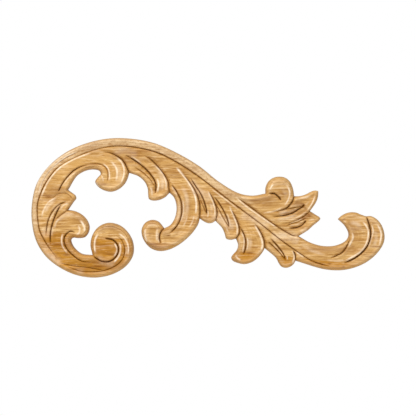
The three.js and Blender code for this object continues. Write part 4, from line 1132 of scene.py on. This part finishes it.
class Nodes:
    """A short way to add and join the nodes of a material or a world."""

    def __init__(self, owner: bpy.types.Material | bpy.types.World) -> None:
        """Empties the owner's tree and keeps it.

        Args:
            owner: the material or world that the nodes belong to.
        """
        owner.use_nodes = True
        self.tree = owner.node_tree
        self.tree.nodes.clear()

    def add(self, kind: str, inputs: dict | None = None, **settings: object) -> bpy.types.Node:
        """Adds a node.

        Args:
            kind: the node's type name.
            inputs: for each input, by name or number, a value or the output that feeds it.
            settings: the node's own settings.

        Returns:
            The new node.
        """
        node = self.tree.nodes.new(kind)
        for name, value in settings.items():
            setattr(node, name, value)
        for name, value in (inputs or {}).items():
            if isinstance(value, bpy.types.NodeSocket):
                self.tree.links.new(value, node.inputs[name])
            else:
                node.inputs[name].default_value = value
        return node

    def math(self, operation: str, *values: Feed) -> bpy.types.NodeSocket:
        """One sum on one to three values or outputs."""
        return self.add("ShaderNodeMath", dict(enumerate(values)), operation=operation).outputs[0]

    def product(self, first: Feed, *others: Feed) -> Feed:
        """All values or outputs multiplied.

        Args:
            first: a value or an output.
            others: what it is multiplied by.

        Returns:
            Their product.
        """
        for other in others:
            first = self.math("MULTIPLY", first, other)
        return first

    def total(self, *parts: tuple[Feed, float]) -> Feed:
        """The sum of values or outputs, each of them times its weight.

        Args:
            parts: pairs of a value or an output and its weight.

        Returns:
            The sum.
        """
        first, *others = [self.math("MULTIPLY", value, weight) for value, weight in parts]
        for other in others:
            first = self.math("ADD", first, other)
        return first

    def map(
        self, value: Feed, low: float, high: float, new_low: float = 0.0, new_high: float = 1.0
    ) -> bpy.types.NodeSocket:
        """A value moved from one range to another, held within it."""
        inputs = {0: value, 1: low, 2: high, 3: new_low, 4: new_high}
        return self.add("ShaderNodeMapRange", inputs, clamp=True).outputs[0]

    def mix(self, share: Feed, first: Feed | tuple, second: Feed | tuple) -> bpy.types.NodeSocket:
        """Two colours mixed by a share; they are inputs 6 and 7 of the node, and output 2."""
        return self.add("ShaderNodeMix", {0: share, 6: first, 7: second}, data_type="RGBA").outputs[2]

    def scaled(self, place: Feed, factor: float) -> bpy.types.NodeSocket:
        """A place scaled from the origin."""
        return self.add("ShaderNodeVectorMath", {0: place, 3: factor}, operation="SCALE").outputs[0]

    def moved(self, place: Feed, way: dict[int, Feed]) -> bpy.types.NodeSocket:
        """A place moved along some of its axes: 0 for X, 1 for Y, 2 for Z."""
        move = self.add("ShaderNodeCombineXYZ", way).outputs[0]
        return self.add("ShaderNodeVectorMath", {0: place, 1: move}, operation="ADD").outputs[0]

    def attribute(self, name: str) -> bpy.types.NodeSocket:
        """What the mesh says under a name."""
        return self.add("ShaderNodeAttribute", attribute_name=name).outputs["Fac"]

    def noise(self, place: Feed, noise: Noise) -> bpy.types.NodeSocket:
        """A layer of noise at a place.

        Args:
            place: the output that gives the place.
            noise: the layer.

        Returns:
            The noise, from 0 to 1.
        """
        mapping = {"Vector": place, "Location": (noise.shift,) * 3, "Scale": noise.scale}
        stretched = self.add("ShaderNodeMapping", mapping).outputs[0]
        inputs = {"Vector": stretched, "Scale": 1.0, "Detail": noise.detail, "Roughness": noise.rough}
        return self.add("ShaderNodeTexNoise", inputs).outputs["Fac"]


class Tone(Enum):
    """The colours of the oak, and of the shade and highlights painted on it: red, green, blue and alpha."""

    PALE = (0.695, 0.436, 0.160, 1)
    WARM = (0.565, 0.292, 0.076, 1)
    LOW_PALE = (0.615, 0.298, 0.034, 1)
    LOW_WARM = (0.425, 0.170, 0.011, 1)
    # dark streaks of the grain, also used for painted shade in fine hollows
    STREAK_AND_SHADE = (0.285, 0.112, 0.010, 1)
    # painted shade in the low places of the carving
    HOLLOW_SHADE = (0.390, 0.175, 0.016, 1)
    # painted shade along the rounded edge
    EDGE_SHADE = (0.680, 0.410, 0.150, 1)
    # dark streaks of the wood, also used for painted shade
    FIGURE_AND_SHADE = (0.200, 0.058, 0.003, 1)
    # painted shade in the cuts, and deeper painted shade at their bottoms
    CUT_SHADE_DARK = (0.165, 0.044, 0.003, 1)
    CUT_SHADE_DEEP = (0.062, 0.012, 0.001, 1)
    # pale fibres of the wood, and also the painted highlights and sheens
    PALE_FIBRE_AND_HIGHLIGHT = (0.960, 0.800, 0.600, 1)
    # paler sanded rim: partly the sanded wood, partly painted sheen where the rim faces the light
    RIM_PALE_AND_SHEEN = (0.840, 0.720, 0.520, 1)


@dataclass(frozen=True)
class Noise:
    """A layer of noise: its name, its waves along X, Y and Z, detail, roughness and shift."""

    name: str
    scale: tuple[float, float, float]
    detail: float
    rough: float
    shift: float = 0.0


@dataclass(frozen=True)
class Span:
    """A share that follows another value.

    Args:
        name: name of the share.
        by: name of the value that it follows.
        ends: two values of it.
        shares: the share at each of them, held beyond them.
    """

    name: str
    by: str
    ends: tuple[float, float]
    shares: tuple[float, float]


@dataclass(frozen=True)
class Wash:
    """A colour laid over the wood where a value passes from one level to another.

    Args:
        by: name of the value.
        start: level at which the colour begins.
        full: level at which it is full.
        share: how much of it shows there.
        tone: the colour.
        within: names of further shares that it is multiplied by.
    """

    by: str
    start: float
    full: float
    share: float
    tone: Tone
    within: tuple[str, ...] = ()


@dataclass(frozen=True)
class OakFinish:
    """Light oak, sanded and unpolished, with dark pores, painted shade in the cuts, in hollows and along
    the rounded edge, and painted highlights on crests and raised places.

    Args:
        marks: names of what the mesh says of each of its points.
        sway: slow noise that bends the grain.
        sway_height: from the lowest to the highest bend, in millimetres.
        grain: noise drawn out along the grain, in waves for each millimetre.
        spread: noise that doesn't follow the grain, in waves for each millimetre.
        gouge: noise of the gouge marks, which follow the nearest line.
        gouge_lane: waves of it for each square of distance from that line.
        gouge_drift: waves of it for each millimetre of the carving.
        spans: shares worked out from the noise and the marks.
        washes: the colours laid over the plain wood, in order, painted shade and painted highlights among
            them.
        tone_weights: how bands and clouds share in the tone of the plain wood.
        tone_ends: where that tone is darkest and palest.
        even_tone: tone where the grain is quiet.
        board_at: height at which the wood changes tone, in metres.
        board_slope: how that line rises along the carving.
        board_blur: half width over which the tone changes, in metres.
        bump_weights: how fibres, pores and gouge marks share in the fine unevenness.
        bump_strength: strength of that unevenness.
        bump_depth: depth of it, in metres.
        fibre_ends: noise of a dark and of a pale fibre.
        roughness: how matt a dark and a pale fibre are.
        shine: how much the wood shines.
    """

    marks: tuple[str, ...] = ("cut", "painted_highlight", "lane", "edge", "figure_and_shade", "calm", "band", "crest", "swell")
    sway: Noise = Noise("sway", (0.012, 0.03, 0.05), 2, 0.5, 3.0)
    sway_height: float = 9.0
    grain: tuple[Noise, ...] = (
        Noise("fibre", (0.060, 0.4, 0.62), 3, 0.68),
        Noise("bands", (0.008, 0.10, 0.18), 3, 0.6, 7.0),
        Noise("pores", (0.14, 0.8, 0.85), 2, 0.5, 11.0),
        Noise("lines", (0.045, 0.4, 0.95), 1, 0.5, 61.0),
        Noise("streaks", (0.020, 0.25, 0.42), 3, 0.6, 17.0),
    )
    spread: tuple[Noise, ...] = (
        Noise("specks", (0.50, 0.60, 0.75), 2, 0.6, 41.0),
        Noise("clouds", (0.035, 0.04, 0.06), 2, 0.5, 53.0),
        # noise that makes the painted highlights patchy
        Noise("highlight_noise", (0.22, 0.22, 0.30), 3, 0.6, 23.0),
        # noise that makes the painted shade in the cuts uneven
        Noise("cut_shade_noise", (0.16, 0.16, 0.16), 2, 0.5, 71.0),
    )
    gouge: Noise = Noise("gouge", (1.0, 1.0, 1.0), 3, 0.55, 31.0)
    gouge_lane: float = 0.62
    gouge_drift: float = 0.035
    spans: tuple[Span, ...] = (
        Span("lively", "calm", (0.0, 1.0), (1.0, 0.0)),
        Span("glued", "clouds", (0.42, 0.55), (0.15, 0.75)),
        Span("broken", "fibre", (0.60, 0.44), (0.75, 1.0)),
        Span("off_rim", "band", (1.0, 0.0), (0.15, 1.0)),
        Span("patchy", "highlight_noise", (0.34, 0.60), (0.45, 0.95)),
        Span("uneven", "cut_shade_noise", (0.36, 0.60), (0.62, 1.08)),
    )
    washes: tuple[Wash, ...] = (
        # the sanded rim painted paler: partly the sanded wood, partly painted sheen where it faces the
        # light
        Wash("band", 0.0, 1.0, 0.30, Tone.RIM_PALE_AND_SHEEN),
        Wash("fibre", 0.52, 0.62, 0.20, Tone.PALE_FIBRE_AND_HIGHLIGHT),
        Wash("fibre", 0.56, 0.40, 0.38, Tone.STREAK_AND_SHADE, ("lively",)),
        Wash("gouge", 0.60, 0.38, 0.20, Tone.STREAK_AND_SHADE),
        Wash("streaks", 0.56, 0.68, 0.45, Tone.STREAK_AND_SHADE, ("lively",)),
        Wash("pores", 0.58, 0.68, 0.50, Tone.STREAK_AND_SHADE),
        Wash("lines", 0.57, 0.66, 0.58, Tone.STREAK_AND_SHADE, ("lively",)),
        Wash("specks", 0.53, 0.62, 0.42, Tone.STREAK_AND_SHADE, ("band",)),
        Wash("seam", 0.0006, 0.0001, 1.0, Tone.STREAK_AND_SHADE, ("glued",)),
        # dark streaks of the wood and painted shade, from the dark patches
        Wash("figure_and_shade", 0.0, 1.0, 1.0, Tone.FIGURE_AND_SHADE, ("broken",)),
        # painted highlight where a place stands above its wider surroundings, and painted shade where it
        # lies below them
        Wash("swell", 0.25, 1.3, 0.10, Tone.PALE_FIBRE_AND_HIGHLIGHT),
        Wash("swell", 0.05, -1.1, 0.34, Tone.HOLLOW_SHADE),
        # painted shade along the rounded edge, away from the sanded rim
        Wash("edge", 3.4, 1.8, 0.29, Tone.EDGE_SHADE, ("off_rim",)),
        # painted highlights and sheens along the crests
        Wash("painted_highlight", 0.0, 1.0, 1.0, Tone.PALE_FIBRE_AND_HIGHLIGHT, ("patchy",)),
        # painted shade in fine hollows, below the near surroundings
        Wash("crest", -0.05, -0.6, 0.22, Tone.STREAK_AND_SHADE),
        # painted shade in the cuts, darkest at their bottoms
        Wash("cut", 0.13, 1.05, 0.80, Tone.CUT_SHADE_DARK, ("uneven",)),
        Wash("cut", 0.55, 1.05, 0.62, Tone.CUT_SHADE_DEEP, ("uneven",)),
    )
    tone_weights: tuple[float, float] = (0.7, 0.3)
    tone_ends: tuple[float, float] = (0.34, 0.64)
    even_tone: float = 0.55
    board_at: float = -34.4 * MM
    board_slope: float = -0.107
    board_blur: float = 0.3 * MM
    bump_weights: tuple[float, float, float] = (0.6, -0.3, 0.8)
    bump_strength: float = 0.35
    bump_depth: float = 0.3 * MM
    fibre_ends: tuple[float, float] = (0.3, 0.7)
    roughness: tuple[float, float] = (0.39, 0.53)
    shine: float = 0.16

    def values(self, n: Nodes) -> dict[str, bpy.types.NodeSocket]:
        """Everything that the colour of the wood depends on.

        Args:
            n: the nodes of the material.

        Returns:
            The outputs by name: the marks, the noise, the shares, and how far a point is below
            the line where the wood changes tone (below) and how far from it (seam).
        """
        metres = n.add("ShaderNodeTexCoord").outputs["Object"]
        place = n.scaled(metres, 1 / MM)
        lift = n.product(n.math("SUBTRACT", n.noise(place, self.sway), 0.5), self.sway_height)
        swayed = n.moved(place, {2: lift})
        found = {name: n.attribute(name) for name in self.marks}
        found |= {noise.name: n.noise(swayed, noise) for noise in self.grain}
        found |= {noise.name: n.noise(place, noise) for noise in self.spread}
        lane = n.product(found["lane"], self.gouge_lane)
        found["gouge"] = n.noise(n.moved(n.scaled(place, self.gouge_drift), {0: lane}), self.gouge)
        for span in self.spans:
            found[span.name] = n.map(found[span.by], *span.ends, *span.shares)
        x, _, z = n.add("ShaderNodeSeparateXYZ", {0: metres}).outputs
        found["below"] = n.math("ADD", n.total((x, self.board_slope), (z, -1.0)), self.board_at)
        found["seam"] = n.math("ABSOLUTE", found["below"])
        return found

    def material(self) -> bpy.types.Material:
        """Builds the oak.

        Returns:
            The new material.
        """
        oak = bpy.data.materials.new("sanded_oak")
        n = Nodes(oak)
        found = self.values(n)
        mixed = n.total(*zip((found["bands"], found["clouds"]), self.tone_weights))
        off = n.math("SUBTRACT", n.map(mixed, *self.tone_ends), self.even_tone)
        tone = n.math("ADD", n.product(off, found["lively"]), self.even_tone)
        upper = n.mix(tone, Tone.WARM.value, Tone.PALE.value)
        lower = n.mix(tone, Tone.LOW_WARM.value, Tone.LOW_PALE.value)
        wood = n.mix(n.map(found["below"], -self.board_blur, self.board_blur), upper, lower)
        for wash in self.washes:
            further = [found[name] for name in wash.within]
            share = n.product(n.map(found[wash.by], wash.start, wash.full), wash.share, *further)
            wood = n.mix(share, wood, wash.tone.value)
        felt = n.total(*zip((found["fibre"], found["pores"], found["gouge"]), self.bump_weights))
        bump = {"Strength": self.bump_strength, "Distance": self.bump_depth, "Height": felt}
        shader_inputs = {
            "Base Color": wood,
            "Roughness": n.map(found["fibre"], *self.fibre_ends, *self.roughness),
            "Specular IOR Level": self.shine,
            "Normal": n.add("ShaderNodeBump", bump).outputs[0],
        }
        shader = n.add("ShaderNodeBsdfPrincipled", shader_inputs)
        n.add("ShaderNodeOutputMaterial", {0: shader.outputs[0]})
        return oak


@dataclass(frozen=True)
class PlainFinish:
    """One even matt colour, for the floor."""

    colour: tuple = (0.90, 0.90, 0.90, 1)
    roughness: float = 0.9

    def material(self) -> bpy.types.Material:
        """Builds the plain matt finish.

        Returns:
            The new material.
        """
        paint = bpy.data.materials.new("pale_floor")
        n = Nodes(paint)
        shader = n.add("ShaderNodeBsdfPrincipled", {"Base Color": self.colour, "Roughness": self.roughness})
        n.add("ShaderNodeOutputMaterial", {0: shader.outputs[0]})
        return paint


@dataclass(frozen=True)
class Lamp:
    """A soft square lamp that looks at the middle of the carving, in metres and watts."""

    name: str
    place: tuple[float, float, float]
    size: float
    power: float

    def build(self) -> bpy.types.Object:
        """Makes the lamp and turns it to the carving.

        Returns:
            The lamp, linked to the scene.
        """
        light = bpy.data.lights.new(self.name, "AREA")
        light.size = self.size
        light.energy = self.power
        lamp = bpy.data.objects.new(self.name, light)
        lamp.location = self.place
        lamp.rotation_euler = (-Vector(self.place)).to_track_quat("-Z", "Y").to_euler()
        bpy.context.collection.objects.link(lamp)
        return lamp


@dataclass(frozen=True)
class Studio:
    """Pale floor, white surroundings, soft lamps and a long lens that looks straight on.

    Args:
        lens: focal length, in millimetres.
        sensor: width of the sensor, in millimetres.
        frame_width: width of what the camera sees at the face of the carving, in metres.
        face_plane: where that face is, along Y.
        camera_height: height of the camera over the middle of the carving, in metres.
        floor_level: height of the floor, well below the carving.
        floor_reach: half width of the floor.
        sky: strength of the white that the camera sees.
        white: colour of the surroundings.
        ambient: strength of the light that the surroundings give.
        lamps: the lamps.
    """

    lens: float = 200.0
    sensor: float = 36.0
    frame_width: float = 353.1 * MM
    face_plane: float = -6 * MM
    camera_height: float = -0.13 * MM
    floor_level: float = -0.30
    floor_reach: float = 0.62
    sky: float = 1.0
    white: tuple = (1.0, 1.0, 1.0, 1)
    ambient: float = 0.60
    lamps: tuple[Lamp, ...] = (
        Lamp("top_lamp", (-0.35, -0.65, 0.86), 0.40, 9.2),
        Lamp("front_lamp", (0.30, -1.20, 0.10), 0.9, 3.7),
    )

    def build(self) -> None:
        """Makes the floor, the surroundings, the lamps and the camera."""
        self.floor()
        self.surroundings()
        for lamp in self.lamps:
            lamp.build()
        self.camera()
        bpy.context.scene.view_settings.view_transform = "Standard"

    def floor(self) -> bpy.types.Object:
        """Makes the pale floor, well below the carving.

        Returns:
            The floor, linked to the scene.
        """
        reach = self.floor_reach
        corners = [(-reach, -reach), (reach, -reach), (reach, reach), (-reach, reach)]
        data = bpy.data.meshes.new("floor")
        data.from_pydata([(x, y, self.floor_level) for x, y in corners], [], [(0, 1, 2, 3)])
        data.materials.append(PlainFinish().material())
        floor = bpy.data.objects.new("floor", data)
        bpy.context.collection.objects.link(floor)
        return floor

    def surroundings(self) -> None:
        """White all round for the eye, and a softer white for the light it gives."""
        world = bpy.data.worlds.new("white_room")
        bpy.context.scene.world = world
        n = Nodes(world)
        seen = n.add("ShaderNodeLightPath").outputs["Is Camera Ray"]
        strength = n.map(seen, 0.0, 1.0, self.ambient, self.sky)
        back = n.add("ShaderNodeBackground", {"Color": self.white, "Strength": strength})
        n.add("ShaderNodeOutputWorld", {0: back.outputs[0]})

    def camera(self) -> bpy.types.Object:
        """Makes the camera, straight in front, so far off that the photo's frame is filled.

        Returns:
            The camera, linked to the scene.
        """
        data = bpy.data.cameras.new("camera")
        data.lens = self.lens
        data.sensor_width = self.sensor
        camera = bpy.data.objects.new("camera", data)
        away = self.frame_width * self.lens / self.sensor
        camera.location = (0, self.face_plane - away, self.camera_height)
        camera.rotation_euler = (math.radians(90), 0, 0)
        bpy.context.collection.objects.link(camera)
        bpy.context.scene.camera = camera
        return camera


def main() -> None:
    """Builds the carving and the studio in order."""
    carving = CarvedScroll().build()
    carving.data.materials.append(OakFinish().material())
    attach(carving, "root")
    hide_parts("carved_scroll")
    LOG.info("%s: %d triangles", carving.name, len(carving.data.polygons))
    studio = Studio()
    studio.build()
    LOG.info("studio: %d lamps", len(studio.lamps))


if __name__ == "__main__":
    logging.basicConfig(level=logging.INFO, format="%(message)s")
    main()
